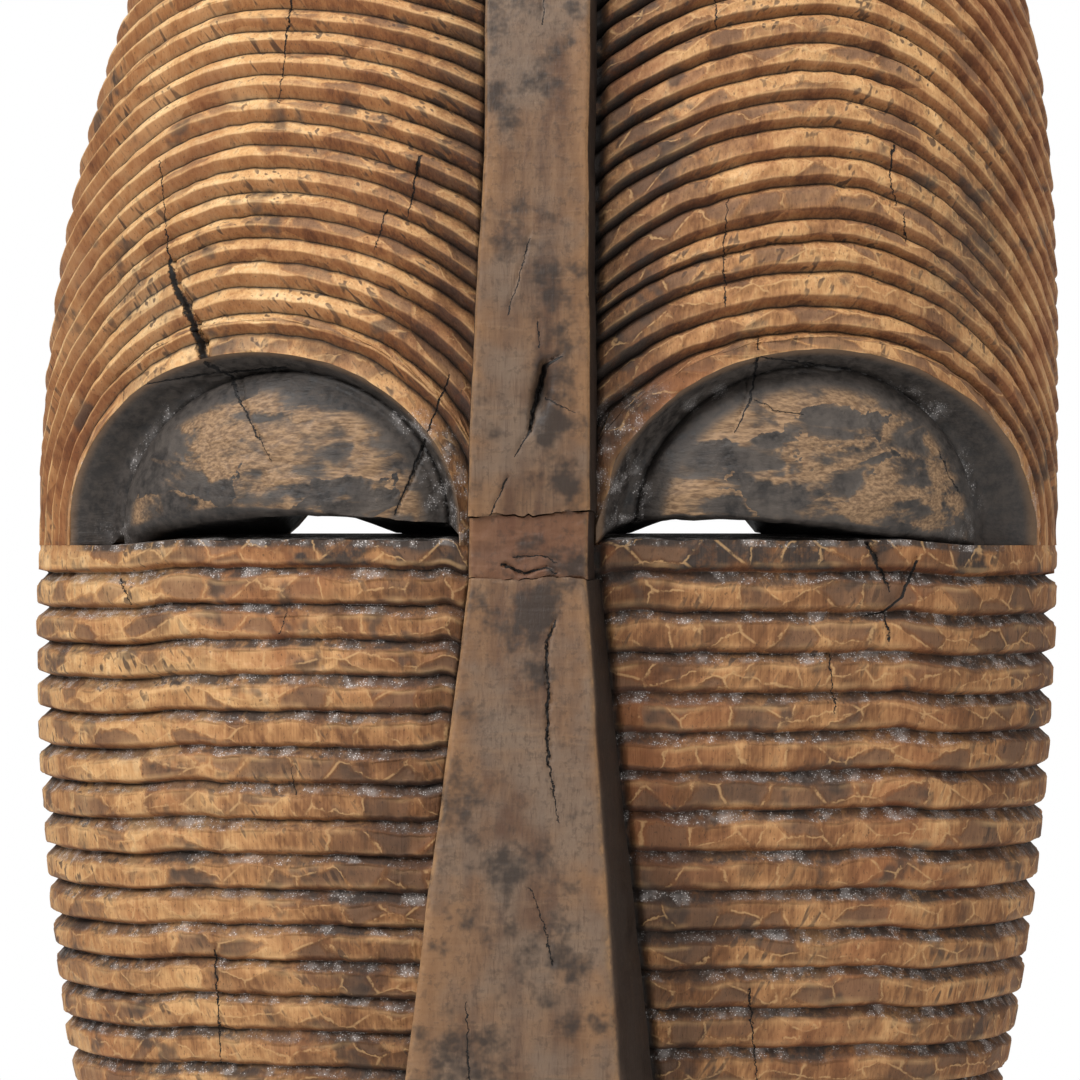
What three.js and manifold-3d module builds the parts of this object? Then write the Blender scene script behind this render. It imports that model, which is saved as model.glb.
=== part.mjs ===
// A tall carved wooden face mask, hollow at the back and hung on a wall.
// Millimetres, +Z up. The face looks towards -Y and the flat back rim lies in the plane y = 0.
// Inside the maskParts group z = 0 is the line of the eye slits; the group is then lowered so that
// the origin is the point where a nail carries the hanging ring.
import * as THREE from 'three';
import { mergeVertices } from 'three/addons/utils/BufferGeometryUtils.js';
import Module from 'manifold-3d';

const wasm = await Module();
wasm.setup();

// ---------------------------------------------------------------- driving dimensions

const HALF_WIDTH = 150; // widest half width, level with the eyes
const TOP_HEIGHT = 265; // eye line to the top of the rim
const CHIN_DROP = 335; // eye line to the bottom of the rim
const FACE_DEPTH = 118; // wall to the face on the centre line
const SIDE_WALL = 20; // thickness of the rim at the sides
const FRONT_WALL = 24; // thickness of the face on the centre line
const TOP_WALL = 30; // thickness of the rim at the top
const CHIN_WALL = 27; // thickness of the rim at the chin
const GAP = 0.3; // fitting gap between touching pieces
const FAR = 500; // beyond every face of the mask
const SEAT_RISE = 6; // how far the cutter of a seat stands over the band that lies in it

const CROSS_POWER = 1.9; // superellipse powers of the cross-section, across and in depth
const CROSS_DEPTH_POWER = 3;
const OUTLINE_POWER = { left: 2.15, right: 3.08, chin: 2.27 }; // roundness of the outline
const PROFILE_POWER = { top: 2, chin: 2.6 }; // roundness of the centre profile

const CHEEK_TOP = -13; // first cheek groove, where forehead and cheeks meet
const CHEEK_PITCH = 9.44; // spacing of the level cheek grooves
const CHEEK_GROOVES = 20; // grooves from the eyes down to the chin block
const CHIN_GROOVES = 11;
const CHIN_TOP = CHEEK_TOP - CHEEK_PITCH * CHEEK_GROOVES;
const GROOVE_DEPTH = 3.2;
const GROOVE_HALF_WIDTH = 2.4;

const EYE = {
  offset: 81.5, // centre of the socket from the centre line
  halfWidth: 61,
  sill: -4.4, // flat lower edge of the socket
  height: 57, // sill to the top of the arch
  pocket: 16, // depth of the seat cut into the block
  recess: 9, // how far the lid's margin lies below the face
  bulge: 12, // rise of the lid in its middle
};
const SLIT = {
  left: { offset: 73, halfLength: 50 },
  right: { offset: 68, halfLength: 48 },
  height: 8,
};
// Ridges of the brow: half ellipses over each eye that grow ring by ring.
const BROW = {
  left: { pitch: 7.46, rings: 18, inner: 60, innerGrowth: 6.8, outer: 62, outerGrowth: 3 },
  right: { pitch: 9.1, rings: 15, inner: 66, innerGrowth: 6, outer: 62, outerGrowth: 2.4 },
};

const CREST = { halfWidth: 17, proud: 13, endProud: 9, sink: 4, bevel: 2.5, start: 4 };
const NOSE = { start: -13.6, end: -181, topHalf: 17, endHalf: 34, topProud: 13, endProud: 46, sink: 5 };
const MOUTH = { halfWidth: 42, top: -209, bottom: -263, front: -134, back: -82, corner: 7 };
const LIPS = { halfWidth: 33, level: -236, halfHeight: 3.2, depth: 11 };

const PEG = { radius: 4, sides: 14, cover: 4, into: 13 };
const PEG_LEVELS = { crest_peg_upper: 170, crest_peg_lower: 62, nose_peg_upper: -55, nose_peg_lower: -135 };
const MOUTH_PEG = { offset: 24, level: -250, front: -122, back: -72 };

const RING = { pivotZ: 237, pivotY: -3.1, wire: 1.3, halfWidth: 12, drop: 20, sides: 7, steps: 30 };
const KNUCKLE = { bore: 1.8, outer: 2.8, halfLength: 5, sides: 20 };
const PLATE = { halfWidth: 14, bottom: 239, top: 253, back: -4.4, front: -5.8 };
const RECESS = { halfWidth: 15, bottom: 232, top: 254, depth: 6.1 };
const SCREW = { offset: 9, level: 247, head: 3.4, headThick: 1.6, shank: 1.5, length: 17, sides: 16 };
const HANG_HEIGHT = RING.pivotZ + RING.drop - RING.wire; // eye line to the nail

const OUTER = { halfWidth: HALF_WIDTH, top: TOP_HEIGHT, chin: CHIN_DROP, depth: FACE_DEPTH };
const INNER = {
  halfWidth: HALF_WIDTH - SIDE_WALL,
  top: TOP_HEIGHT - TOP_WALL,
  chin: CHIN_DROP - CHIN_WALL,
  depth: FACE_DEPTH - FRONT_WALL,
};

// ---------------------------------------------------------------- solids

/** A closed, welded geometry as a manifold solid. */
function solidOf(geometry) {
  const bare = new THREE.BufferGeometry();
  bare.setAttribute('position', geometry.getAttribute('position').clone());
  bare.setIndex(geometry.getIndex());
  const welded = mergeVertices(bare, 1e-4);
  const index = welded.getIndex().array;
  const kept = [];
  for (let i = 0; i < index.length; i += 3) {
    const [a, b, c] = [index[i], index[i + 1], index[i + 2]];
    if (a !== b && b !== c && c !== a) kept.push(a, b, c);
  }
  return new wasm.Manifold(new wasm.Mesh({
    numProp: 3,
    vertProperties: new Float32Array(welded.getAttribute('position').array),
    triVerts: new Uint32Array(kept),
  }));
}

/** A manifold solid as a geometry that a Mesh can show. */
function geometryOf(solid) {
  const mesh = solid.getMesh();
  const geometry = new THREE.BufferGeometry();
  geometry.setAttribute('position', new THREE.BufferAttribute(new Float32Array(mesh.vertProperties), 3));
  geometry.setIndex(new THREE.BufferAttribute(new Uint32Array(mesh.triVerts), 1));
  geometry.computeVertexNormals();
  return geometry;
}

/** Area enclosed by a closed loop of points. */
function loopArea(loop) {
  const sum = new THREE.Vector3();
  loop.forEach((point, i) => sum.add(point.clone().cross(loop[(i + 1) % loop.length])));
  return sum.length() / 2;
}

/** Skin over closed loops of equally many points; ends are capped, or the last loop meets the first. */
function loft(loops, closed = false) {
  const positions = [];
  const triangle = (a, b, c) => [a, b, c].forEach((point) => positions.push(point.x, point.y, point.z));
  const count = loops[0].length;
  const spans = closed ? loops.length : loops.length - 1;
  for (let i = 0; i < spans; i += 1) {
    const [from, to] = [loops[i], loops[(i + 1) % loops.length]];
    for (let j = 0; j < count; j += 1) {
      const k = (j + 1) % count;
      triangle(from[j], from[k], to[k]);
      triangle(from[j], to[k], to[j]);
    }
  }
  const cap = (loop, reverse) => {
    if (loopArea(loop) < 1e-3) return;
    const middle = new THREE.Vector3();
    loop.forEach((point) => middle.addScaledVector(point, 1 / count));
    for (let j = 0; j < count; j += 1) {
      const k = (j + 1) % count;
      if (reverse) triangle(middle, loop[k], loop[j]);
      else triangle(middle, loop[j], loop[k]);
    }
  };
  if (!closed) {
    cap(loops[0], true);
    cap(loops[loops.length - 1], false);
  }
  return faceOutward(positions);
}

/** Build the geometry, turning it inside out if its faces point inwards. */
function faceOutward(positions) {
  let volume = 0;
  for (let i = 0; i < positions.length; i += 9) {
    const [a, b, c] = [0, 3, 6].map((k) => new THREE.Vector3().fromArray(positions, i + k));
    volume += a.dot(b.cross(c));
  }
  if (volume < 0) {
    for (let i = 0; i < positions.length; i += 9) {
      for (let k = 0; k < 3; k += 1) {
        const held = positions[i + k];
        positions[i + k] = positions[i + 3 + k];
        positions[i + 3 + k] = held;
      }
    }
  }
  const geometry = new THREE.BufferGeometry();
  geometry.setAttribute('position', new THREE.Float32BufferAttribute(positions, 3));
  const order = Array.from({ length: positions.length / 3 }, (_, i) => i);
  geometry.setIndex(order);
  return geometry;
}

/** A box between two corners. */
function box(low, high) {
  const size = high.map((value, i) => value - low[i]);
  const geometry = new THREE.BoxGeometry(...size);
  geometry.translate(...low.map((value, i) => value + size[i] / 2));
  return solidOf(geometry);
}

/** A round bar along Y between two depths. */
function barAlongY(x, z, radius, fromY, toY, sides) {
  const geometry = new THREE.CylinderGeometry(radius, radius, Math.abs(toY - fromY), sides);
  geometry.translate(x, (fromY + toY) / 2, z);
  return solidOf(geometry);
}

// ---------------------------------------------------------------- the face surface

/** What is left of a full size at the fraction t of the half span of a superellipse. */
function taper(t, power) {
  return (1 - Math.min(1, Math.abs(t)) ** power) ** (1 / power);
}

function halfWidthAt(skin, z, side) {
  if (z < 0) return skin.halfWidth * taper(z / skin.chin, OUTLINE_POWER.chin);
  return skin.halfWidth * taper(z / skin.top, side < 0 ? OUTLINE_POWER.left : OUTLINE_POWER.right);
}

function depthAt(skin, z) {
  if (z < 0) return skin.depth * taper(z / skin.chin, PROFILE_POWER.chin);
  return skin.depth * taper(z / skin.top, PROFILE_POWER.top);
}

/** Distance of the skin in front of the wall at (x, z). */
function surfaceAt(skin, x, z) {
  const across = Math.min(1, Math.abs(x) / Math.max(1e-6, halfWidthAt(skin, z, Math.sign(x))));
  return depthAt(skin, z) * (1 - across ** CROSS_POWER) ** (1 / CROSS_DEPTH_POWER);
}

/** Point of the skin at height z; turn runs from 0 at the +X rim to PI at the -X rim. */
function skinPoint(skin, z, turn) {
  const across = Math.cos(turn);
  const side = Math.sign(across) || 1;
  const x = side * halfWidthAt(skin, z, side) * Math.abs(across) ** (2 / CROSS_POWER);
  const y = -depthAt(skin, z) * Math.max(0, Math.sin(turn)) ** (2 / CROSS_DEPTH_POWER);
  return new THREE.Vector3(x, y, z);
}

/** Outward direction of the outer skin at a point of it. */
function outward(point) {
  const level = (x, y, z) => {
    const across = Math.abs(x) / Math.max(1, halfWidthAt(OUTER, z, Math.sign(x)));
    const deep = Math.abs(Math.min(0, y)) / Math.max(1, depthAt(OUTER, z));
    return across ** CROSS_POWER + deep ** CROSS_DEPTH_POWER;
  };
  const step = 0.05;
  const { x, y, z } = point;
  return new THREE.Vector3(
    level(x + step, y, z) - level(x - step, y, z),
    level(x, y + step, z) - level(x, y - step, z),
    level(x, y, z + step) - level(x, y, z - step),
  ).normalize();
}

/** Half egg under a skin, one D-shaped loop for each row; backReach runs it on behind the back plane. */
function halfEgg(skin, rows, columns, backReach = 0) {
  const loops = rows.map(({ z, inset }) => {
    const loop = [];
    for (let column = 0; column <= columns; column += 1) {
      const point = skinPoint(skin, z, (Math.PI * column) / columns);
      if (inset > 0) point.addScaledVector(outward(point).setZ(0).normalize(), -inset);
      loop.push(point);
    }
    if (backReach > 0) {
      loop.push(new THREE.Vector3(loop[columns].x, backReach, z));
      loop.unshift(new THREE.Vector3(loop[0].x, backReach, z));
    }
    return loop;
  });
  return solidOf(loft(loops));
}

/** Plain rows from a bottom height up to a top height, closer together towards the pole. */
function plainRows(pole, from, count) {
  const start = Math.asin(from / Math.abs(pole));
  const end = (Math.sign(pole) * Math.PI) / 2;
  return Array.from({ length: count + 1 }, (_, i) => (
    { z: Math.abs(pole) * Math.sin(start + (end - start) * (i / count)), inset: 0 }
  ));
}

/** Three rows for each level V groove, from the given height downwards. */
function grooveRows() {
  const rows = [];
  for (let i = 0; i <= CHEEK_GROOVES + CHIN_GROOVES; i += 1) {
    const z = CHEEK_TOP - CHEEK_PITCH * i;
    rows.push({ z: z + GROOVE_HALF_WIDTH, inset: 0 });
    rows.push({ z, inset: GROOVE_DEPTH });
    rows.push({ z: z - GROOVE_HALF_WIDTH, inset: 0 });
  }
  return rows;
}

// ---------------------------------------------------------------- carved grooves

/** V-shaped cutter that follows a path on the outer skin. */
function grooveCutter(path, depth = GROOVE_DEPTH, halfWidth = GROOVE_HALF_WIDTH) {
  const lift = 2;
  const flare = (halfWidth * (depth + lift)) / depth;
  const loops = path.map((point, i) => {
    const ahead = path[Math.min(i + 1, path.length - 1)];
    const behind = path[Math.max(i - 1, 0)];
    const along = ahead.clone().sub(behind).normalize();
    const out = outward(point);
    const aside = along.cross(out).normalize();
    return [
      point.clone().addScaledVector(out, -depth),
      point.clone().addScaledVector(out, lift).addScaledVector(aside, flare),
      point.clone().addScaledVector(out, lift).addScaledVector(aside, -flare),
    ];
  });
  return solidOf(loft(loops));
}

/** One ring of the brow over an eye, from beside the crest to where it runs off at the rim. */
function browGroove(side, ring) {
  const rule = side < 0 ? BROW.left : BROW.right;
  const rise = EYE.sill + EYE.height + rule.pitch * ring;
  const inner = rule.inner + rule.innerGrowth * ring;
  const outer = rule.outer + rule.outerGrowth * ring;
  const samples = 240;
  const dense = [];
  for (let i = 0; i <= samples; i += 1) {
    const angle = (Math.PI * i) / samples;
    const reach = -Math.cos(angle) * (angle < Math.PI / 2 ? inner : outer);
    const x = EYE.offset + reach;
    const z = rise * Math.sin(angle);
    const inside = x > CREST.halfWidth - 4 && x < 0.997 * halfWidthAt(OUTER, z, side);
    if (inside) dense.push(new THREE.Vector3(side * x, -surfaceAt(OUTER, side * x, z), z));
    else if (dense.length > 0) break;
  }
  const path = new THREE.CatmullRomCurve3(dense).getSpacedPoints(8);
  const last = path[path.length - 1];
  if (last.z < 8) path.push(new THREE.Vector3(last.x, last.y, CHEEK_TOP - 2));
  else path.push(new THREE.Vector3(last.x + side * 0.5, 4, last.z - 2));
  return grooveCutter(path, GROOVE_DEPTH * 0.8, GROOVE_HALF_WIDTH * 0.85);
}

// ---------------------------------------------------------------- bands on the centre line

/** Bar with bevelled front edges, laid along the centre profile through the given stations. */
function centreBand(stations, bevel) {
  const loops = stations.map(({ y, z, tilt, half, proud, sink }) => {
    const out = new THREE.Vector3(0, -Math.cos(tilt), Math.sin(tilt));
    const at = (x, lift) => new THREE.Vector3(x, y, z).addScaledVector(out, lift);
    return [
      at(-half, -sink), at(half, -sink), at(half, proud - bevel),
      at(half - bevel, proud), at(-half + bevel, proud), at(-half, proud - bevel),
    ];
  });
  return solidOf(loft(loops));
}

/** Tilt of the centre profile at height z, measured from level towards +Z. */
function profileTilt(z) {
  const step = 0.5;
  const low = Math.max(-CHIN_DROP, z - step);
  const high = Math.min(TOP_HEIGHT, z + step);
  return Math.atan2(depthAt(OUTER, low) - depthAt(OUTER, high), high - low);
}

function crestSolid(clear) {
  const steps = 16;
  const stations = [];
  for (let i = 0; i <= steps; i += 1) {
    const start = Math.asin(CREST.start / TOP_HEIGHT);
    const z = TOP_HEIGHT * Math.sin(start + (Math.PI / 2 - start) * (i / steps));
    const proud = CREST.proud + (CREST.endProud - CREST.proud) * (i / steps) ** 2;
    stations.push({ y: -depthAt(OUTER, z), z, tilt: profileTilt(z), half: CREST.halfWidth, proud });
  }
  const last = stations[steps];
  last.tilt = Math.PI / 2;
  stations.push({ ...last, y: 8 });
  if (clear) stations[0].z -= 2;
  return sized(stations, CREST.sink, clear, CREST.bevel);
}

function noseSolid(clear) {
  const steps = 12;
  const stations = [];
  for (let i = 0; i <= steps; i += 1) {
    const part = i / steps;
    const z = NOSE.start + (NOSE.end - NOSE.start) * part;
    const half = NOSE.topHalf + (NOSE.endHalf - NOSE.topHalf) * part;
    const proud = NOSE.topProud + (NOSE.endProud - NOSE.topProud) * part;
    stations.push({ y: -depthAt(OUTER, z), z, tilt: 0, half, proud });
  }
  if (clear) stations[steps].z -= clear;
  return sized(stations, NOSE.sink, clear, CREST.bevel);
}

function bridgeSolid(clear) {
  const stations = [CREST.start - GAP, NOSE.start + GAP].map((z) => (
    { y: -depthAt(OUTER, z), z, tilt: 0, half: CREST.halfWidth - 0.5, proud: CREST.proud - 1 }
  ));
  if (clear) {
    stations[0].z += 2;
    stations[1].z -= 2;
  }
  return sized(stations, CREST.sink, clear, CREST.bevel);
}

/** A band as it is, or grown by the fitting gap as the cutter of its own seat. */
function sized(stations, sink, clear, bevel) {
  const grown = stations.map((station) => ({
    ...station,
    half: station.half + clear,
    proud: station.proud + (clear > 0 ? SEAT_RISE : 0),
    sink: sink + clear,
  }));
  return centreBand(grown, bevel).intersect(box([-FAR, -FAR, -FAR], [FAR, clear > 0 ? 20 : 0, FAR]));
}

// ---------------------------------------------------------------- eyes

/** D-shaped plate over an eye, between a front and a back skin given as functions of (x, z). */
function eyePlate(side, shrink, frontAt, backAt) {
  const columns = 18;
  const rows = 7;
  const halfWidth = EYE.halfWidth - shrink;
  const height = EYE.height - 2 * shrink;
  const loops = [];
  for (let i = 0; i <= columns; i += 1) {
    const turn = (Math.PI * i) / columns;
    const x = side * (EYE.offset - halfWidth * Math.cos(turn));
    const sill = EYE.sill + shrink;
    const level = (row) => sill + height * Math.sin(turn) * (row / rows);
    const loop = [];
    for (let row = 0; row <= rows; row += 1) loop.push(new THREE.Vector3(x, -frontAt(x, level(row)), level(row)));
    for (let row = rows; row >= 0; row -= 1) loop.push(new THREE.Vector3(x, -backAt(x, level(row)), level(row)));
    loops.push(loop);
  }
  return solidOf(loft(loops));
}

function socketPocket(side) {
  return eyePlate(side, 0,
    (x, z) => surfaceAt(OUTER, x, z) + 12,
    (x, z) => surfaceAt(OUTER, x, z) - EYE.pocket);
}

function lidSolid(side) {
  const lid = (x, z) => {
    const across = (Math.abs(x) - EYE.offset) / (EYE.halfWidth - 9);
    const up = (z - 22) / 30;
    const dome = Math.max(0, 1 - across * across - up * up);
    return surfaceAt(OUTER, x, z) - EYE.recess + EYE.bulge * Math.sqrt(dome);
  };
  const seat = (x, z) => surfaceAt(OUTER, x, z) - EYE.pocket + GAP;
  return eyePlate(side, GAP, lid, seat).subtract(slitCutter(side));
}

/** See-through slit over the sill, highest in its middle. */
function slitCutter(side) {
  const { offset, halfLength } = side < 0 ? SLIT.left : SLIT.right;
  const steps = 12;
  const outline = [];
  for (let i = 0; i <= steps; i += 1) {
    const along = Math.cos((Math.PI * i) / steps);
    const rise = SLIT.height * Math.sqrt(1 - along * along);
    outline.push([side * (offset + halfLength * along), EYE.sill + rise]);
  }
  const loopAt = (y) => outline.map(([x, z]) => new THREE.Vector3(x, y, z));
  return solidOf(loft([loopAt(-160), loopAt(20)]));
}

// ---------------------------------------------------------------- mouth, pegs and hanger

function mouthSolid(clear) {
  const { halfWidth, top, bottom, front, back, corner } = MOUTH;
  const shape = new THREE.Shape();
  const [low, high, half, round] = [bottom - clear, top + clear, halfWidth + clear, corner];
  shape.moveTo(-half + round, low);
  shape.lineTo(half - round, low);
  shape.absarc(half - round, low + round, round, -Math.PI / 2, 0, false);
  shape.absarc(half - round, high - round, round, 0, Math.PI / 2, false);
  shape.absarc(-half + round, high - round, round, Math.PI / 2, Math.PI, false);
  shape.absarc(-half + round, low + round, round, Math.PI, 1.5 * Math.PI, false);
  const depth = back - front + 2 * clear;
  const geometry = new THREE.ExtrudeGeometry(shape, { depth, bevelEnabled: false, curveSegments: 5 });
  geometry.rotateX(Math.PI / 2);
  geometry.translate(0, back + clear, 0);
  return solidOf(geometry);
}

function lipSlot() {
  const { halfWidth, level, halfHeight, depth } = LIPS;
  return box(
    [-halfWidth, MOUTH.front - 5, level - halfHeight],
    [halfWidth, MOUTH.front + depth, level + halfHeight],
  );
}

/** Where each peg starts under the front of its band and where it ends in the block. */
function pegSpans() {
  const spans = Object.entries(PEG_LEVELS).map(([name, z]) => {
    const part = (z - NOSE.start) / (NOSE.end - NOSE.start);
    const noseProud = NOSE.topProud + (NOSE.endProud - NOSE.topProud) * part;
    const proud = z > 0 ? CREST.endProud : noseProud;
    const surface = -depthAt(OUTER, z);
    return { name, x: 0, z, front: surface - proud + PEG.cover, back: surface + PEG.into };
  });
  const mouth = [-1, 1].map((side) => ({
    name: side < 0 ? 'mouth_peg_left' : 'mouth_peg_right',
    x: side * MOUTH_PEG.offset,
    z: MOUTH_PEG.level,
    front: MOUTH_PEG.front,
    back: MOUTH_PEG.back,
  }));
  return [...spans, ...mouth];
}

function pegSolid({ x, z, front, back }, clear) {
  return barAlongY(x, z, PEG.radius + clear, front - clear, back + clear, PEG.sides);
}

function hangerRing() {
  const { pivotY, pivotZ, wire, halfWidth, drop, sides, steps } = RING;
  const corner = 3;
  const route = [new THREE.Vector3(-halfWidth + corner, pivotY, pivotZ)];
  route.push(new THREE.Vector3(halfWidth - corner, pivotY, pivotZ));
  const bends = 8;
  for (let i = 0; i <= bends; i += 1) {
    const turn = -0.15 - (Math.PI - 0.3) * (i / bends);
    const x = halfWidth * Math.cos(turn);
    route.push(new THREE.Vector3(x, pivotY, pivotZ + drop * Math.sin(turn)));
  }
  const curve = new THREE.CatmullRomCurve3(route, true, 'catmullrom', 0.35);
  const centres = curve.getSpacedPoints(steps).slice(0, steps);
  const loops = centres.map((centre, i) => {
    const along = centres[(i + 1) % steps].clone().sub(centres[(i + steps - 1) % steps]).normalize();
    const back = new THREE.Vector3(0, 1, 0);
    const aside = along.clone().cross(back);
    return Array.from({ length: sides }, (_, j) => {
      const turn = (2 * Math.PI * j) / sides;
      return centre.clone()
        .addScaledVector(back, wire * Math.cos(turn))
        .addScaledVector(aside, wire * Math.sin(turn));
    });
  });
  return solidOf(loft(loops, true));
}

function barAlongX(radius, halfLength, y, z, sides) {
  const geometry = new THREE.CylinderGeometry(radius, radius, 2 * halfLength, sides);
  geometry.rotateZ(Math.PI / 2);
  geometry.translate(0, y, z);
  return solidOf(geometry);
}

function hangerPlate() {
  const { halfWidth, bottom, top, back, front } = PLATE;
  const leaf = box([-halfWidth, front, bottom], [halfWidth, back, top]);
  const tongue = box([-KNUCKLE.halfLength, front, RING.pivotZ], [KNUCKLE.halfLength, back, bottom + 1]);
  const barrel = barAlongX(KNUCKLE.outer, KNUCKLE.halfLength, RING.pivotY, RING.pivotZ, KNUCKLE.sides);
  const bore = barAlongX(KNUCKLE.bore, KNUCKLE.halfLength + 1, RING.pivotY, RING.pivotZ, KNUCKLE.sides);
  let plate = leaf.add(tongue).add(barrel).subtract(bore);
  for (const side of [-1, 1]) {
    const hole = barAlongY(side * SCREW.offset, SCREW.level, SCREW.shank + GAP, -8, 0, SCREW.sides);
    plate = plate.subtract(hole);
  }
  return plate;
}

/** Round-headed screw driven from the back into the top of the rim. */
function hangerScrew(side) {
  const { head, headThick, shank, length } = SCREW;
  const profile = [
    [0, 0], [head * 0.7, 0], [head, -headThick * 0.45], [head, -headThick],
    [shank, -headThick], [shank, -length + 3], [0, -length],
  ].map(([radius, along]) => new THREE.Vector2(radius, along)).reverse();
  const geometry = new THREE.LatheGeometry(profile, SCREW.sides);
  geometry.translate(side * SCREW.offset, PLATE.back + headThick + GAP, SCREW.level);
  return solidOf(geometry);
}

function screwHole(side) {
  const { offset, level, shank, length, sides } = SCREW;
  const end = PLATE.back - length;
  return barAlongY(side * offset, level, shank + GAP, end, 0, sides);
}

// ---------------------------------------------------------------- the carved block and its regions

const outerRows = [
  ...plainRows(-OUTER.chin, CHIN_TOP - CHEEK_PITCH * (CHIN_GROOVES + 0.5), 3).reverse(),
  ...grooveRows().reverse(),
  ...plainRows(OUTER.top, 4, 8),
];
const innerRows = [...plainRows(-INNER.chin, 0, 6).reverse(), ...plainRows(INNER.top, 20, 6)];
const shell = halfEgg(OUTER, outerRows, 14).subtract(halfEgg(INNER, innerRows, 12, 6));
const seats = [crestSolid(GAP), bridgeSolid(GAP), noseSolid(GAP), mouthSolid(GAP)];
const pegs = pegSpans();
const pegHoles = pegs.map((peg) => pegSolid(peg, GAP));

/** The part of the carved block between two heights, on one side of the centre or on both. */
function region(side, bottom, top) {
  const low = [side > 0 ? GAP / 2 : -FAR, -FAR, bottom + GAP / 2];
  const high = [side < 0 ? -GAP / 2 : FAR, FAR, top - GAP / 2];
  let piece = shell.intersect(box(low, high));
  for (const cutter of [...seats, ...pegHoles]) piece = piece.subtract(cutter);
  return piece;
}

function foreheadSolid(side) {
  let piece = region(side, CHEEK_TOP, FAR);
  piece = piece.subtract(socketPocket(side)).subtract(slitCutter(side));
  const { rings } = side < 0 ? BROW.left : BROW.right;
  for (let ring = 1; ring <= rings; ring += 1) piece = piece.subtract(browGroove(side, ring));
  const { halfWidth, bottom, top, depth } = RECESS;
  piece = piece.subtract(box([-halfWidth, -depth, bottom], [halfWidth, 5, top]));
  return piece.subtract(screwHole(side));
}

function cheekSolid(side) {
  return region(side, CHIN_TOP, CHEEK_TOP);
}

function chinSolid() {
  return region(0, -FAR, CHIN_TOP);
}

function withoutPegs(solid) {
  return pegHoles.reduce((piece, hole) => piece.subtract(hole), solid);
}

// ---------------------------------------------------------------- finish and assembly

const finishes = {
  carvedWood: { color: 0x9a6f49, roughness: 0.72, metalness: 0 },
  darkWood: { color: 0x6b5646, roughness: 0.62, metalness: 0 },
  blackened: { color: 0x3f3833, roughness: 0.68, metalness: 0 },
  pegWood: { color: 0x7d5a3c, roughness: 0.75, metalness: 0 },
  iron: { color: 0x5a5550, roughness: 0.55, metalness: 0.85 },
};

const maskParts = new THREE.Group();
maskParts.position.z = -HANG_HEIGHT;

function place(name, solid, finish) {
  const mesh = new THREE.Mesh(geometryOf(solid), new THREE.MeshStandardMaterial(finishes[finish]));
  mesh.name = name;
  maskParts.add(mesh);
}

for (const side of [-1, 1]) {
  const hand = side < 0 ? 'left' : 'right';
  place(`forehead_${hand}`, foreheadSolid(side), 'carvedWood');
  place(`cheek_${hand}`, cheekSolid(side), 'carvedWood');
  place(`eyelid_${hand}`, lidSolid(side), 'blackened');
  place(`hanger_screw_${hand}`, hangerScrew(side), 'iron');
}
place('chin_block', chinSolid(), 'carvedWood');
place('crest_band', withoutPegs(crestSolid(0)), 'darkWood');
place('bridge_patch', bridgeSolid(0), 'darkWood');
place('nose_block', withoutPegs(noseSolid(0)), 'darkWood');
place('mouth_block', withoutPegs(mouthSolid(0).subtract(lipSlot())), 'darkWood');
for (const peg of pegs) place(peg.name, pegSolid(peg, 0), 'pegWood');
place('hanger_plate', hangerPlate(), 'iron');
place('hanger_ring', hangerRing(), 'iron');

const mask = new THREE.Group();
mask.name = 'carved_wooden_mask';
mask.add(maskParts);

export default mask;
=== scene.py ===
"""Looks of a tall carved wooden face mask with striped brow and cheeks, hung on a wall by a ring.

Shapes are worked out in millimetres in the mask's own coordinates: z = 0 is the line of the eye
slits, y = 0 the wall that the back rim lies against, and the face looks towards -Y.
"""
import math

import bpy
import numpy as np
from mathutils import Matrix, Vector


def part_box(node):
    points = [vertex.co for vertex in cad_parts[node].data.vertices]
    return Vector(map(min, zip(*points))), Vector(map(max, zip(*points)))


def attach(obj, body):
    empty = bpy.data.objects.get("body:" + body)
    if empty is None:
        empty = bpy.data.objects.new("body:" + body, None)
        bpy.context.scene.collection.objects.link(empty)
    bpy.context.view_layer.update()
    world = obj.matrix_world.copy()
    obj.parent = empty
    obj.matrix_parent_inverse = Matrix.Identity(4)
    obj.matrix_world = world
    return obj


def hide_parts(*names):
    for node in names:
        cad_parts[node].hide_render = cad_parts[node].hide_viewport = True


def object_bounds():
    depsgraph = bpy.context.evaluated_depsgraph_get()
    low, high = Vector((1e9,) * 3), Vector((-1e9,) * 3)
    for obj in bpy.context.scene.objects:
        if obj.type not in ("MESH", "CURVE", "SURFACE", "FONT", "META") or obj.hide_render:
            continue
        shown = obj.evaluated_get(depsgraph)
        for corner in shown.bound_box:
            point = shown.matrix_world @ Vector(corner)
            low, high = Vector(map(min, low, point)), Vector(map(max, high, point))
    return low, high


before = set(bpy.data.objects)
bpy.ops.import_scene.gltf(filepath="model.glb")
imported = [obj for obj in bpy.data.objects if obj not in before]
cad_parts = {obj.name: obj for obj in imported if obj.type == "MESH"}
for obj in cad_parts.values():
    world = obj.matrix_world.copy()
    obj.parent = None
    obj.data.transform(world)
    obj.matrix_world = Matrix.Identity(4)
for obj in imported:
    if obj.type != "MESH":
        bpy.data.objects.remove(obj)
cad_box = [list(corner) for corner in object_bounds()]

# ------------------------------------------------------------------ driving dimensions

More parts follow.
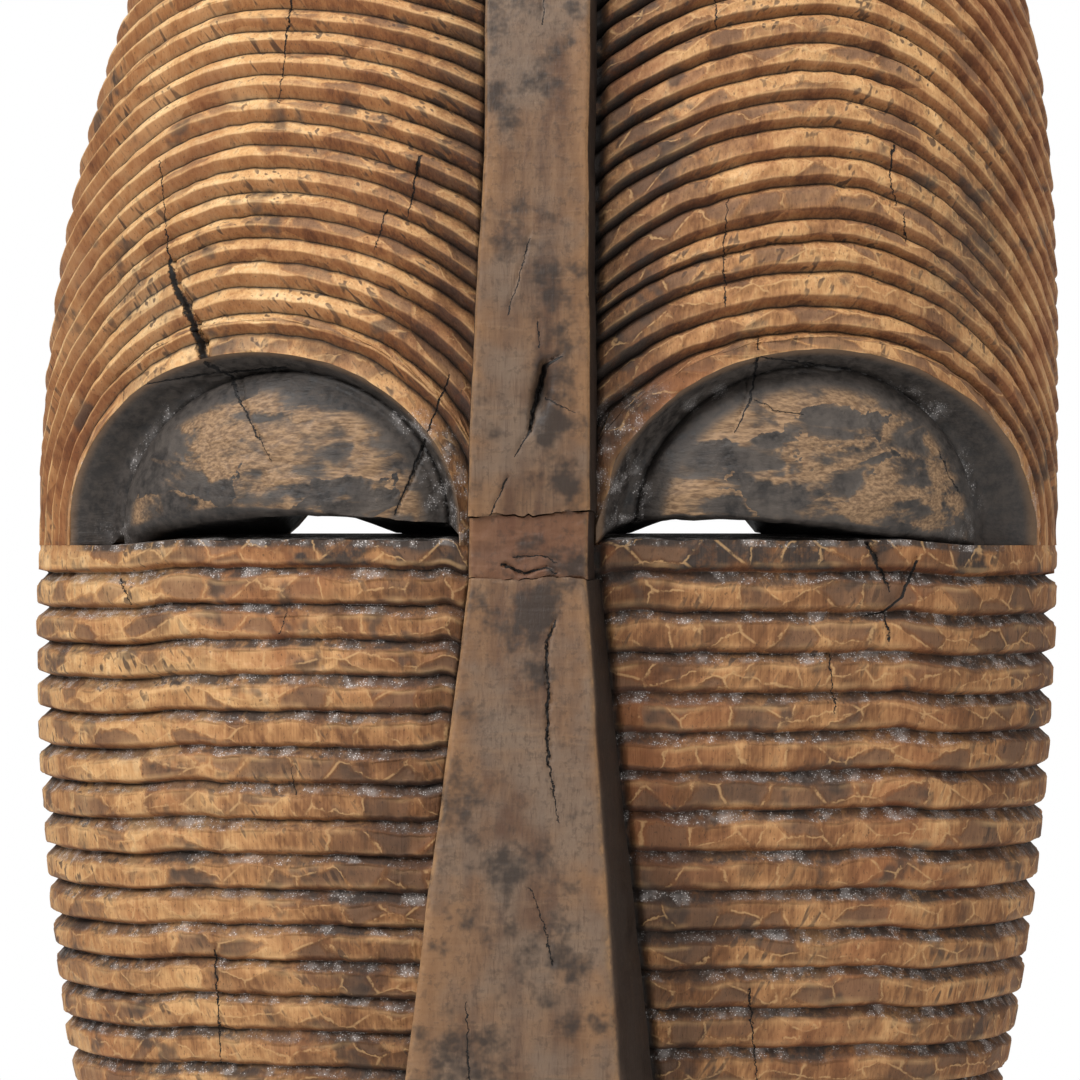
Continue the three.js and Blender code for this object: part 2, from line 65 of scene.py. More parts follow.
TOP = 265.0  # eye line to the top of the rim
EYE_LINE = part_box("forehead_left")[1].z * 1000 - TOP  # height of the eye line in the frame
CHIN = 335.0
CROSS, CROSS_DEPTH = 1.9, 3.0  # superellipse powers of the level section
OUTER = {"half": 150.0, "top": TOP, "chin": CHIN, "depth": 118.0}
INNER = {"half": 130.0, "top": 235.0, "chin": 308.0, "depth": 94.0}
OUTLINE = {"left": 2.15, "right": 3.08, "chin": 2.27}
LEAN = 0.015  # the carver's centre line leans to the right, going up
SILL = -4.4  # lower edge of the sockets, where brow and cheeks meet
CHIN_TOP = -201.8
BAND_START = 11.0  # the brow starts under the crest
SIDE = {"left": -1, "right": 1}
SEAM = 0.02  # left and right pieces start this far from the centre line

# Rings of the brow over each eye: half ellipses that grow outwards. `grooves` are ring numbers.
BROW = {
    "left": {
        "offset": 80.0, "inner": 60.6, "outer": 55.0, "rise": 49.7, "pitch": 7.05,
        "grooves": [0.8, 1.63, 2.66, 3.70, 4.65, 5.55], "spacing": 0.97, "depth": 2.5,
    },
    "right": {
        "offset": 80.4, "inner": 61.2, "outer": 61.3, "rise": 49.9, "pitch": 8.6,
        "grooves": [0.66, 1.51, 2.64, 3.64, 4.37, 5.50], "spacing": 0.97, "depth": 2.9,
    },
}
# Section of one ridge, from its lower groove (0) up to the next (1): place and height.
RIDGE = {
    "left": ([0, 0.05, 0.44, 0.5, 0.56, 0.9, 1], [-1, -0.86, -0.07, 0, -0.05, -0.66, -1]),
    "right": ([0, 0.05, 0.26, 0.31, 0.36, 0.76, 0.9, 1],
              [-1, -0.9, -0.1, 0, -0.02, -0.16, -0.55, -1]),
    "cheek": ([0, 0.04, 0.2, 0.28, 0.34, 0.8, 0.86, 0.94, 1],
              [-1, -0.88, -0.36, -0.06, 0, -0.02, -0.1, -0.62, -1]),
}
RIDGE_ROWS = {
    "left": [0, 0.05, 0.18, 0.31, 0.44, 0.5, 0.56, 0.72, 0.88],
    "right": [0, 0.05, 0.15, 0.26, 0.31, 0.36, 0.5, 0.64, 0.76, 0.9],
    "cheek": [0, 0.04, 0.12, 0.2, 0.28, 0.34, 0.46, 0.58, 0.7, 0.8, 0.86, 0.94],
}
CHEEK_DEPTH = (2.4, 3.5)  # beside the nose and at the rim
CHEEKS = {
    "left": {"first": -12.6, "count": 20},
    "right": {"first": -13.4, "count": 18},
}

SILL_LIP = 1.5  # the sill stands up by this much along the slit
BACK_SILL = 3.4  # and by this much on the hollow side
# Each lid: its half ellipse, its lower rim and the top of the slit under it as heights against the
# distance from the centre line, and where the slit opens right through into the hollow.
LID = {
    "left": {
        "centre": 74.0, "half": 50.3, "top": 45.2, "window": (41.0, 65.0),
        "rim": ([18, 24, 36, 52, 65, 85, 103, 115, 124, 129],
                [-3, 2.3, 2.8, 4.3, 6.0, 7.7, 5.6, 2.5, -0.8, -4.4]),
        "slit": ([18, 21, 36, 52, 65, 82, 94, 109, 115], [-4.4, 2.2, 3.2, 3.8, 4.1, 3.3, 2.2, -0.8, -4.4]),
    },
    "right": {
        "centre": 80.3, "half": 50.6, "top": 46.2, "window": (29.0, 58.0),
        "rim": ([18, 22, 30, 47, 63, 83, 97, 114, 131], [-3, 1.2, 4.0, 4.6, 3.8, 2.7, 1.6, -0.6, -4.4]),
        "slit": ([18, 21, 30, 60, 83, 93, 104, 120], [-4.4, -1.0, 2.6, 2.8, 0.9, -0.8, -2.2, -4.4]),
    },
}
CREST_HALF = ([0, 20, 60, 100, 180, 420], [16.6, 16.5, 15.4, 14.3, 14.6, 16.0])
NOSE = {"start": -13.6, "end": -181.0, "halfs": (16.0, 33.5), "prouds": (13.0, 46.0)}

# ------------------------------------------------------------------ small maths


def smooth(value, low, high):
    t = np.clip((value - low) / (high - low), 0, 1)
    return t * t * (3 - 2 * t)


def bell(value, centre, width):
    return np.exp(-((value - centre) / width) ** 2)


def taper(t, power):
    return (1 - np.minimum(1, np.abs(t)) ** power) ** (1 / power)


def value_noise(u, v, seed):
    """Smooth noise from -1 to 1 on a lattice of one unit."""
    lattice = np.random.default_rng(seed).uniform(-1, 1, (97, 89))
    i, j = np.floor(u).astype(int), np.floor(v).astype(int)
    a, b = smooth(u - i, 0, 1), smooth(v - j, 0, 1)
    at = lambda p, q: lattice[p % 97, q % 89]
    low = at(i, j) * (1 - a) + at(i + 1, j) * a
    high = at(i, j + 1) * (1 - a) + at(i + 1, j + 1) * a
    return low * (1 - b) + high * b


def layered(u, v, seed, octaves=3):
    total = 0
    for k in range(octaves):
        total = total + value_noise(u * 2 ** k, v * 2 ** k, seed + 31 * k) / 2 ** k
    return total / (2 - 2 ** (1 - octaves))


# ------------------------------------------------------------------ the face surface


def half_width(skin, z, side):
    above = taper(z / skin["top"], np.where(side < 0, OUTLINE["left"], OUTLINE["right"]))
    return skin["half"] * np.where(z < 0, taper(z / skin["chin"], OUTLINE["chin"]), above)


def depth(skin, z):
    return skin["depth"] * np.where(z < 0, taper(z / skin["chin"], 2.6), taper(z / skin["top"], 2.0))


def front_of(skin, x, z):
    across = np.minimum(1, np.abs(x) / np.maximum(1e-6, half_width(skin, z, np.sign(x))))
    return -depth(skin, z) * (1 - across ** CROSS) ** (1 / CROSS_DEPTH)


def on_skin(skin, z, turn, side):
    x = side * half_width(skin, z, side) * np.abs(np.cos(turn)) ** (2 / CROSS)
    y = -depth(skin, z) * np.abs(np.sin(turn)) ** (2 / CROSS_DEPTH)
    return np.stack([x, y, z + 0 * x], -1)


def outward(points, skin=OUTER):
    """Unit normals of the skin at points on it."""
    def level(p):
        across = np.abs(p[..., 0]) / np.maximum(1, half_width(skin, p[..., 2], np.sign(p[..., 0])))
        deep = np.abs(np.minimum(0, p[..., 1])) / np.maximum(1, depth(skin, p[..., 2]))
        return across ** CROSS + deep ** CROSS_DEPTH
    slopes = []
    for axis in np.eye(3) * 0.05:
        slopes.append(level(points + axis) - level(points - axis))
    normal = np.stack(slopes, -1)
    return normal / np.maximum(1e-12, np.linalg.norm(normal, axis=-1, keepdims=True))


def lean(points):
    moved = points.copy()
    z = points[..., 2]
    moved[..., 0] += LEAN * z * (1 - smooth(z, 110, 215))
    return moved


# ------------------------------------------------------------------ cracks

# Each crack is a line of (x, z) points, with its width at both ends in millimetres.
CRACKS = {
    "forehead_left": [
        ([(-109, 105), (-106, 83), (-105, 76)], 0.26, 0.38),
        ([(-105, 76), (-103, 69), (-98, 60), (-93, 47)], 1.0, 2.2),
        ([(-33, 104), (-36, 87)], 0.68, 0.22),
        ([(-42, 89), (-45, 78)], 0.3, 0.15),
        ([(-23, 43), (-30, 25)], 0.3, 0.45),
        ([(-70, 168), (-74, 120)], 0.52, 0.22),
        ([(-118, 40), (-116, 22)], 0.15, 0.26),
    ],
    "forehead_right": [
        ([(99, 108), (98, 99), (100, 91)], 0.45, 0.22),
        ([(102, 89), (103, 81)], 0.22, 0.3),
        ([(53, 92), (52, 78), (53, 62)], 0.22, 0.3),
        ([(45, 190), (49, 140)], 0.6, 0.22),
        ([(62, 54), (62, 50)], 0.22, 0.45),
    ],
    "eyelid_left": [
        ([(-93, 47), (-86, 43), (-83, 36), (-77, 26), (-73, 19)], 0.83, 0.19),
        ([(-30, 25), (-34, 14), (-38, 4)], 0.52, 0.3),
        ([(-112, 41), (-93, 44), (-70, 45.5)], 0.22, 0.38),
    ],
    "eyelid_right": [
        ([(62, 50), (60, 36), (56, 27)], 0.68, 0.22),
        ([(61, 36), (68, 33), (75, 32)], 0.22, 0.19),
        ([(44, 46), (62, 48), (88, 45)], 0.22, 0.38),
        ([(113, 22), (119, 10)], 0.38, 0.22),
    ],
    "cheek_left": [
        ([(-118, -14), (-114, -21)], 0.38, 0.22),
        ([(-68, -22), (-70, -29)], 0.22, 0.15),
        ([(-66, -66), (-65, -74)], 0.15, 0.26),
        ([(-88, -118), (-86, -150)], 0.45, 0.22),
    ],
    "cheek_right": [
        ([(93, -4), (97, -11), (100, -17)], 0.9, 0.45),
        ([(107, -9), (103, -19), (98, -23), (100, -31)], 0.68, 0.38),
        ([(98, -23), (93, -24)], 0.38, 0.22),
        ([(83, -35), (85, -51)], 0.38, 0.19),
        ([(62, -128), (66, -166)], 0.38, 0.22),
    ],
    "chin_block": [([(-30, -270), (-26, -312)], 0.6, 0.22), ([(56, -205), (52, -240)], 0.22, 0.52)],
    "crest_band": [
        ([(4, 45), (1.5, 36), (0, 27)], 1.2, 0.9),
        ([(4, 45), (8.5, 47.5)], 0.9, 0.3),
        ([(4, 36), (8, 34), (12.5, 32)], 0.38, 0.22),
        ([(0, 27), (-4, 20)], 0.45, 0.3),
        ([(-6, 14), (-10.5, 4)], 0.38, 0.3),
        ([(-1, 80), (-6.5, 59)], 0.22, 0.3),
        ([(1.5, 57), (2.5, 50)], 0.3, 0.22),
        ([(4, 190), (1, 140)], 0.52, 0.22),
    ],
    "nose_block": [
        ([(8, -25), (5.5, -31), (6.5, -46), (6.5, -60)], 0.45, 0.75),
        ([(6.5, -60), (10, -80)], 0.68, 0.15),
        ([(2.5, -97), (7, -107), (9, -118)], 0.15, 0.38),
        ([(-14, -128), (-12, -160)], 0.22, 0.52),
    ],
    "bridge_patch": [([(-7, -9.5), (-1, -12), (5, -10.5), (8, -12)], 0.6, 0.3),
                     ([(-4, -7.5), (3, -7), (8, -9)], 0.25, 0.2)],
    "mouth_block": [([(-30, -212), (-28, -230)], 0.45, 0.15)],
}


def segments(name):
    for line, start, end in CRACKS.get(name, []):
        count = len(line) - 1
        for i in range(count):
            first = start + (end - start) * i / count
            last = start + (end - start) * (i + 1) / count
            yield line[i], line[i + 1], first, last


def crack_depth(name, x, z):
    """How deep the cracks of a piece open at (x, z), for those wide enough to model."""
    total = np.zeros_like(x)
    jitter_x = 0.5 * value_noise(x * 0 + z / 2.6, z * 0, 5) + 0.25 * value_noise(z / 0.9, z * 0, 6)
    jitter_z = 0.4 * value_noise(x / 2.6, z * 0, 7)
    for a, b, first, last in segments(name):
        along = np.array(b, float) - a
        px, pz = x + jitter_x - a[0], z + jitter_z - a[1]
        t = np.clip((px * along[0] + pz * along[1]) / (along @ along), 0, 1)
        away = np.hypot(px - t * along[0], pz - t * along[1])
        width = first + (last - first) * t
        total = np.maximum(total, 1.9 * width * np.clip(1.15 - away / (0.62 * width + 0.35), 0, 1))
    return total


# ------------------------------------------------------------------ meshes

pieces = {}


def add_mesh(name, points, faces, values, uv):
    """A mesh from points in mask millimetres, with one number for each point in each attribute."""
    mesh = bpy.data.meshes.new(name)
    mesh.from_pydata(((points + [0, 0, EYE_LINE]) / 1000).tolist(), [], faces)
    for key, numbers in values.items():
        attribute = mesh.attributes.new(key, "FLOAT", "POINT")
        attribute.data.foreach_set("value", np.asarray(numbers, np.float32).ravel())
    mesh.uv_layers.new(name="OFBake").data.foreach_set("uv", np.asarray(uv, np.float32).ravel())
    mesh.shade_smooth()
    mesh.set_sharp_from_angle(angle=math.radians(62))
    piece = bpy.data.objects.new(name, mesh)
    bpy.context.scene.collection.objects.link(piece)
    pieces[name] = piece
    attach(piece, "mask")
    return piece


def placed(piece, node):
    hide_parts(node)
    return piece


def picks(count, step):
    chosen = list(range(0, count - 1, step))
    return chosen + [count - 1]


def repeated(grid, lead):
    """A grid with its first row put ahead of it `lead` more times."""
    return np.concatenate([np.repeat(grid[:1], lead, axis=0), grid])


def shell(name, node, front, back, values, steps, flip, kept_rows=()):
    """Closed piece between a fine front grid and a back grid that keeps every few rows and columns."""
    rows, columns = front.shape[:2]
    back_rows, back_columns = sorted({*picks(rows, steps[0]), *kept_rows}), picks(columns, steps[1])
    inner = back[np.ix_(back_rows, back_columns)]
    r, c = inner.shape[:2]
    base = rows * columns
    at = lambda i, j: i * columns + j
    under = lambda i, j: base + i * c + j
    faces, uv = [], []

    def face(indices, coordinates):
        if flip:
            indices, coordinates = indices[::-1], coordinates[::-1]
        faces.append(indices)
        uv.extend(coordinates)

    outer_uv = lambda i, j: (0.005 + 0.99 * j / (columns - 1), 0.005 + 0.80 * i / (rows - 1))
    inner_uv = lambda i, j: (0.005 + 0.99 * j / (c - 1), 0.815 + 0.12 * i / (r - 1))
    for i in range(rows - 1):
        for j in range(columns - 1):
            corners = ((i, j), (i, j + 1), (i + 1, j + 1), (i + 1, j))
            face([at(*p) for p in corners], [outer_uv(*p) for p in corners])
    for i in range(r - 1):
        for j in range(c - 1):
            corners = ((i, j), (i + 1, j), (i + 1, j + 1), (i, j + 1))
            face([under(*p) for p in corners], [inner_uv(*p) for p in corners])
    borders = [
        (back_columns, lambda j: at(0, j), lambda k: under(0, k), True),
        (back_rows, lambda i: at(i, columns - 1), lambda k: under(k, c - 1), True),
        (back_columns, lambda j: at(rows - 1, j), lambda k: under(r - 1, k), False),
        (back_rows, lambda i: at(i, 0), lambda k: under(k, 0), False),
    ]
    for band, (chosen, fine, coarse, reverse) in enumerate(borders):
        top, bottom = 0.945 + 0.0125 * band, 0.955 + 0.0125 * band
        last = chosen[-1]
        for k in range(len(chosen) - 1):
            run = list(range(chosen[k], chosen[k + 1] + 1))
            indices = [fine(p) for p in run] + [coarse(k + 1), coarse(k)]
            places = [(0.005 + 0.99 * p / last, top) for p in run]
            places += [(0.005 + 0.99 * p / last, bottom) for p in (chosen[k + 1], chosen[k])]
            if reverse:
                indices, places = indices[::-1], places[::-1]
            face(indices, places)
    points = np.concatenate([front.reshape(-1, 3), inner.reshape(-1, 3)])
    spread = {}
    for key, grid in values.items():
        spread[key] = np.concatenate([np.broadcast_to(grid, (rows, columns)).ravel(), np.zeros(r * c)])
    spread["inside"] = np.concatenate([np.zeros(base), np.ones(r * c)])
    return placed(add_mesh(name, lean(points), faces, spread, uv), node)


def adze(points, seed):
    """Shallow scoops that the adze left inside the hollow, as a height along the normal."""
    angle = np.arctan2(points[..., 0], -points[..., 1] - 20) * 70
    u, v = angle / 15 + 0.4 * layered(angle / 40, points[..., 2] / 40, seed), points[..., 2] / 24
    v = v + 0.5 * (np.floor(u) % 2) + 0.2 * value_noise(u, v, seed + 3)
    scoop = (1 - (2 * (u - np.floor(u)) - 1) ** 2) * (1 - (2 * (v - np.floor(v)) - 1) ** 2)
    fade = smooth(-points[..., 1], 1, 14)
    return (0.7 * scoop - 0.35 + 0.5 * layered(angle / 9, points[..., 2] / 30, seed + 9)) * fade


def inner_points(x, z):
    """Where a front point (x, z) of the brow lands on the skin of the hollow."""
    side = np.sign(x)
    span = np.maximum(1e-6, half_width(OUTER, z, side) - BAND_START)
    part = np.clip((np.abs(x) - BAND_START) / span, 0, 1)
    low = SILL + (z - SILL) * (INNER["top"] - SILL) / (OUTER["top"] - SILL)
    inner_x = side * (SEAM + part * np.maximum(0, half_width(INNER, low, side) - SEAM))
    points = np.stack([inner_x, front_of(INNER, inner_x, low), low], -1)
    return points - outward(points, INNER) * adze(points, 41)[..., None]


# ------------------------------------------------------------------ the brow


def ring_rise(rule, n):
    """Height of ring n over the eye line: the rings keep their pitch along the curving profile."""
    heights, slope = [rule["rise"]], 0.02
    while heights[-1] < TOP * 1.6:
        z = min(heights[-1], TOP * 0.999)
        run = TOP * math.sqrt(1 - (z / TOP) ** 2)
        fall = OUTER["depth"] * z / TOP
        heights.append(heights[-1] + rule["pitch"] * slope * max(0.25, run / math.hypot(run, fall)))
    return np.interp(n, np.arange(len(heights)) * slope, heights)


def ring_point(hand, n, turn):
    """Point of ring n: turn 0 is its end by the nose and PI its outer end; beyond them it drops."""
    rule = BROW[hand]
    if hand == "left":
        inner, outer = rule["inner"] + 6.5 * n, rule["outer"] + 2.9 * n
    else:
        n_up = np.maximum(0, n)
        inner = rule["inner"] + 33 * (1 - np.exp(-n / 1.4)) + 4.0 * np.maximum(0, n - 5)
        outer = rule["outer"] + 3.8 * n_up ** 0.7
    upper = np.clip(turn, 0, math.pi)
    x = rule["offset"] - np.where(turn < math.pi / 2, inner, outer) * np.cos(upper)
    z = ring_rise(rule, n) * np.sin(upper) - 50 * (np.maximum(0, -turn) + np.maximum(0, turn - math.pi))
    return x, z


def ring_at(hand, x):
    """Number of the ring whose outer leg stands at distance x from the centre line."""
    rule = BROW[hand]
    beyond = np.maximum(0, x - rule["offset"] - rule["outer"])
    return beyond / 2.9 if hand == "left" else (beyond / 3.8) ** (1 / 0.7)


def ring_edge(hand, turn):
    """Waver of the socket's edge, in ring numbers."""
    seed = 3 if hand == "left" else 4
    notch = -0.32 * bell(turn, 1.52, 0.022) if hand == "left" else 0
    return 0.09 * layered(turn * 4.5, turn * 0, seed) + notch


def first_crossing(inside, turns):
    """First turn of each row where `inside` becomes false, between samples."""
    index = np.argmax(inside < 0, axis=1)
    index = np.where((inside < 0).any(axis=1), np.maximum(1, index), inside.shape[1] - 1)
    rows = np.arange(len(index))
    a, b = inside[rows, index - 1], inside[rows, index]
    part = np.where(b < 0, a / np.maximum(1e-9, a - b), 1)
    return turns[rows, index - 1] + part * (turns[rows, index] - turns[rows, index - 1])


def ring_span(hand, n):
    """Turns where rings n leave the crest and where they meet the rim."""
    side = SIDE[hand]
    drop = -SILL / 50
    fine = np.broadcast_to(np.linspace(-drop, math.pi + drop, 4001), (len(n), 4001))
    x, z = ring_point(hand, n[:, None], fine)
    from_crest = first_crossing(BAND_START - x, fine)
    from_crest = np.where(x[:, 0] >= BAND_START, -drop, from_crest)
    beyond = np.where(fine > from_crest[:, None], half_width(OUTER, z, side) - x, 1)
    beyond = np.where(z > TOP, np.where(fine > from_crest[:, None], -1, 1), beyond)
    return from_crest, first_crossing(beyond, fine)


def ring_reach(hand, n):
    """True for the rings that still have some length between the crest and the rim."""
    from_crest, to_rim = ring_span(hand, n)
    return to_rim - from_crest > 0.015


def brow_rows(hand):
    """Ring numbers of the rows, with each row's ridge and its place on the ridge's section."""
    rule = BROW[hand]
    grooves = list(rule["grooves"])
    while grooves[-1] < 60:
        grooves.append(grooves[-1] + rule["spacing"])
    crisp = RIDGE[hand][0][3]
    rows = [(0.0, 0, crisp)]
    for f in RIDGE_ROWS[hand]:
        if f > crisp:
            rows.append((grooves[0] * (f - crisp) / (1 - crisp), 0, f))
    for k in range(len(grooves) - 1):
        for f in RIDGE_ROWS[hand][::2 if grooves[k] > 30 else 1]:
            rows.append((grooves[k] + (grooves[k + 1] - grooves[k]) * f, k + 1, f))
    rows = np.array(rows)
    last = int(np.argmin(ring_reach(hand, rows[:, 0])))
    rows = rows[:last]
    # More rows by the rings that pass the corners: crest and sill, rim and sill, crest and rim.
    side = SIDE[hand]
    dense = np.linspace(0, 12, 24001)
    by_crest = np.interp(-BAND_START, -ring_point(hand, dense, 0 * dense)[0], dense)
    ends = ring_point(hand, dense, 0 * dense + math.pi)[0]
    by_rim = np.interp(half_width(OUTER, SILL, side), ends, dense)
    at_top = rows[-1, 0] + np.linspace(0, 0.5, 400)
    at_top = at_top[ring_reach(hand, at_top)][-1]
    steps = np.array([-0.15, -0.05, -0.015, -0.005, 0, 0.005, 0.015, 0.05, 0.15])
    near = np.concatenate([by_crest + steps, by_rim + steps, [at_top - 0.1, at_top]])
    level = np.interp(near, rows[:, 0], rows[:, 1] + rows[:, 2])
    extra = np.stack([near, np.floor(level), level % 1, 1 + 0 * near], -1)
    rows = np.concatenate([np.insert(rows, 3, 0, axis=1), extra])
    return rows[np.argsort(rows[:, 0])]


def brow(hand, columns):
    side = SIDE[hand]
    drop = -SILL / 50
    table = brow_rows(hand)
    from_crest, to_rim = ring_span(hand, table[:, 0])
    from_crest, to_rim = from_crest[:, None], to_rim[:, None]
    at_rim = to_rim[:, 0] < math.pi + drop - 1e-6

    # Columns are spaced evenly along each ring on the skin.
    n, ridge, f = table[:, :1], table[:, 1:2], table[:, 2:3]
    dense = np.linspace(0, 1, 1200)[None, :]
    dense = np.where(at_rim[:, None], 1 - (1 - dense) ** 2.6, dense)
    turn = from_crest + (to_rim - from_crest) * dense
    x, z = ring_point(hand, n, turn)
    x = np.minimum(x, half_width(OUTER, z, side))
    y = front_of(OUTER, side * x, z)
    steps = np.sqrt(np.diff(x) ** 2 + np.diff(y) ** 2 + np.diff(z) ** 2)
    length = np.concatenate([np.zeros((len(n), 1)), np.cumsum(steps, axis=1)], axis=1)
    along = np.linspace(0, 1, columns)[None, :] * length[:, -1:]
    turn = np.stack([np.interp(along[i], length[i], turn[i]) for i in range(len(n))])

    # Rings waver a little, most of all at the socket's edge.
    waver = 0.075 * layered(turn * 7, n * 0.8, 17) + 0.03 * value_noise(turn * 22, n * 1.3, 18)
    waver = waver * smooth(n, 0, 0.6) + ring_edge(hand, turn) * (1 - smooth(n, 0, 0.7))
    x, z = ring_point(hand, n, turn)
    waver = waver * smooth(half_width(OUTER, z, side) - x, 0, 5)
    x, z = ring_point(hand, n + waver, turn)
    x = np.minimum(x, half_width(OUTER, z, side))
    z = np.clip(z, SILL, TOP)
    x = np.where(np.arange(columns)[None, :] == columns - 1,
                 np.where(at_rim[:, None], half_width(OUTER, z, side), x), x)
    x = np.maximum(x, BAND_START * 0.8)

    # Near the top the block runs on under the crest to its middle, in a channel.
    run_on = smooth(z[:, 0], 150, 200)
    first, second = x[:, 0] - 0.12, x[:, 0] - 0.06
    first, second = first + (SEAM - first) * run_on, second + (0.7 * BAND_START - second) * run_on
    x = side * np.concatenate([first[:, None], second[:, None], x], axis=1)
    z, along, turn = (repeated(grid.T, 2).T for grid in (z, along, turn))
    skin = np.stack([x, front_of(OUTER, x, z), z], -1)
    normal = outward(skin)

    # Relief of the ridges, weaker where they crowd together, deeper beside the crest.
    places, heights = RIDGE[hand]
    per_ring = len(RIDGE_ROWS[hand])
    half = per_ring // 2 + 1
    apart = np.roll(n, -half, axis=0) - np.roll(n, half, axis=0)
    room = np.linalg.norm(np.roll(skin, -half, axis=0) - np.roll(skin, half, axis=0), axis=-1)
    room = room / np.maximum(0.1, np.abs(apart))
    room[:half], room[-half:] = room[half], room[-half - 1]
    beside = 1 - smooth(np.abs(x), 18, 44 if side < 0 else 52)
    profile = np.interp(f, places, heights)
    worn = smooth(layered(x / 16 + 9, z / 22, 77), 0.25, 0.6)
    rule = BROW[hand]
    relief = rule["depth"] * np.clip(room / rule["pitch"], 0.3, 1) * (1 + 0.45 * beside)
    relief = relief * (1 + 0.22 * layered(x / 30, z / 30, 21))
    damage = np.zeros_like(x)
    if hand == "left":
        damage = bell(x, -111, 13) * bell(z, 66, 12)
    else:
        damage = 0.7 * bell(x, 121, 12) * bell(z, 76, 24)
    damage = np.clip(damage * (1.1 + 0.5 * layered(x / 6, z / 9, 33)), 0, 1)
    height = profile * relief * (1 - 0.62 * damage) - 1.1 * damage
    height += damage * 0.7 * layered(x / 1.8, z / 7, 34)
    on_face = np.interp(f, [0, places[3], places[3] + 0.1, 0.85, 1], [0, 0, 1, 1, 0])
    height += on_face * 0.3 * value_noise(along / 6, ridge * 2.7, 900 + side)
    # A gap beside the crest, sunk and also painted black as shade through the groove value.
    gap = 1 - smooth(np.abs(x), *((14.6, 16.6) if side < 0 else (17.4, 19.6)))
    height -= 2.6 * gap
    crisp = bell(f, places[3], 0.05)
    height -= crisp * 0.35 * smooth(layered(x / 5, z / 5, 55), 0.0, 0.5) + crisp * 0.5 * worn
    height += 0.14 * layered(x / 2.2, z / 5, 56)
    height -= crack_depth("forehead_" + hand, x, z)
    height[:, :2] -= 3.4 * run_on[:, None]
    front = skin + normal * height[..., None]
    front[..., 2] = np.maximum(front[..., 2], SILL)

    # The wall of the socket goes straight back to the hollow.
    back = inner_points(x, z)
    start = front[:1]
    wall = [start + (back[:1] - start) * part for part in (1.0, 0.7, 0.3, 0.05)]
    lead = len(wall) - 1

    # The last row lies in the plane of the wall, from under the crest to the rim.
    ends = []
    for skin_rule, row, rise in ((OUTER, front[-1], height[-1]), (INNER, back[-1], 0)):
        rim_z = skin_rule["top"] * taper(row[:, 0] / skin_rule["half"], OUTLINE[hand]) + rise - 0.03
        ends.append(np.stack([row[:, 0], 0 * rim_z, rim_z], -1)[None])
    front = np.concatenate([*wall[1:], front, ends[0]])
    back = np.concatenate([repeated(back, lead), ends[1]])
    extend = lambda grid: np.concatenate([repeated(grid, lead), grid[-1:]])

    # Down-facing facets of each ridge, darkened in the material as painted shade.
    under = (f < places[3]) * smooth(f, 0.02, 0.07)
    near_socket = 1 - smooth(n, 0.1, 1.3)
    values = {
        # groove: painted shade in the gap beside the crest and along the groove floors.
        "groove": np.maximum(gap, np.clip(1 - np.minimum(f, 1 - f) / (0.075 + 0.11 * beside), 0, 1)
                             * np.clip(relief / 1.6, 0.3, 1)),
        "under": under * np.ones_like(x),
        "edge": crisp * (0.45 + 0.55 * layered(x / 8, z / 8, 61)) + 0.5 * bell(f, 0.97, 0.03),
        # Painted shade beside the crest, strongest on the right and on down-facing facets; the damaged patch
        # and the blotches by the socket are soot.
        "soot_and_shade": np.clip(beside * (0.66 if side < 0 else 1.15) * (0.35 + under * 0.8)
                        + damage * (0.35 if side < 0 else 0.9)
                        + 0.8 * near_socket * smooth(layered(x / 14, z / 9, 64), 0.1, 0.5), 0, 1),
        "kaolin": 0.5 * near_socket * smooth(np.abs(turn - math.pi / 2), 0.4, 1.2)
                  + 0.25 * beside * smooth(z, 90, 10),
        "tone_and_shade": tone_and_shade(x, z),
        "face": on_face,
        "along": along,
        "level": ridge + f,
    }
    values = {key: extend(np.broadcast_to(grid, x.shape)) for key, grid in values.items()}
    # The socket wall is painted black as shade.
    values["groove"][:lead] = 1
    corners = np.flatnonzero(table[:, 3]) + lead
    return shell("forehead_carved_" + hand, "forehead_" + hand, front, back, values, (5, 4), side < 0,
                 corners.tolist())


def tone_and_shade(x, z):
    """Broad lightness with painted light and shade: pale outside and lit on the left, shaded beside the nose
    and crest.
    """
    away = np.abs(x)
    # Painted light and shade: the left is lighter than the right, and both sides darken towards the nose and
    # crest.
    left = 0.55 - 0.30 * (1 - smooth(away, 25, 95)) + 0.21 * smooth(z, -10, 60)
    right = 0.37 - 0.25 * (1 - smooth(away, 24, 66)) - 0.03 * smooth(away, 105, 140)
    right = right + (0.17 + 0.06 * (1 - smooth(away, 24, 60))) * smooth(z, -10, 60)
    return np.where(x < 0, left, right) + 0.1 * layered(x / 40, z / 40, 71)


# ------------------------------------------------------------------ cheeks and chin


def even_turns(columns):
    """Turns of the level section, evenly spaced along the skin."""
    dense = np.linspace(math.pi / 2, 0, 4000)
    line = on_skin(OUTER, np.full(4000, -60.0), dense, 1)
    length = np.concatenate([[0], np.cumsum(np.linalg.norm(np.diff(line, axis=0), axis=1))])
    even = np.linspace(0, length[-1], columns)
    return np.interp(even, length, dense), even


def level_rows(levels):
    """Rows for level grooves, from the highest groove down."""
    rows = []
    for k in range(len(levels) - 1):
        for f in RIDGE_ROWS["cheek"]:
            rows.append((levels[k] + (levels[k + 1] - levels[k]) * f, k, f))
    rows.append((levels[-1], len(levels) - 1, 0))
    return np.array(rows)


def uneven(ridge, f, along, seed):
    """Ridge places moved so that bevels and faces vary in width."""
    bevel = layered(along / 17, ridge * 1.9, seed + 12)
    lower = value_noise(along / 12, ridge * 2.3, seed + 13)
    moved = 0.17 * bevel * np.interp(f, [0, 0.3, 0.8, 1], [0, 1, 0.15, 0])
    return f + moved + 0.045 * lower * np.interp(f, [0, 0.34, 0.83, 1], [0, 0, 1, 0])


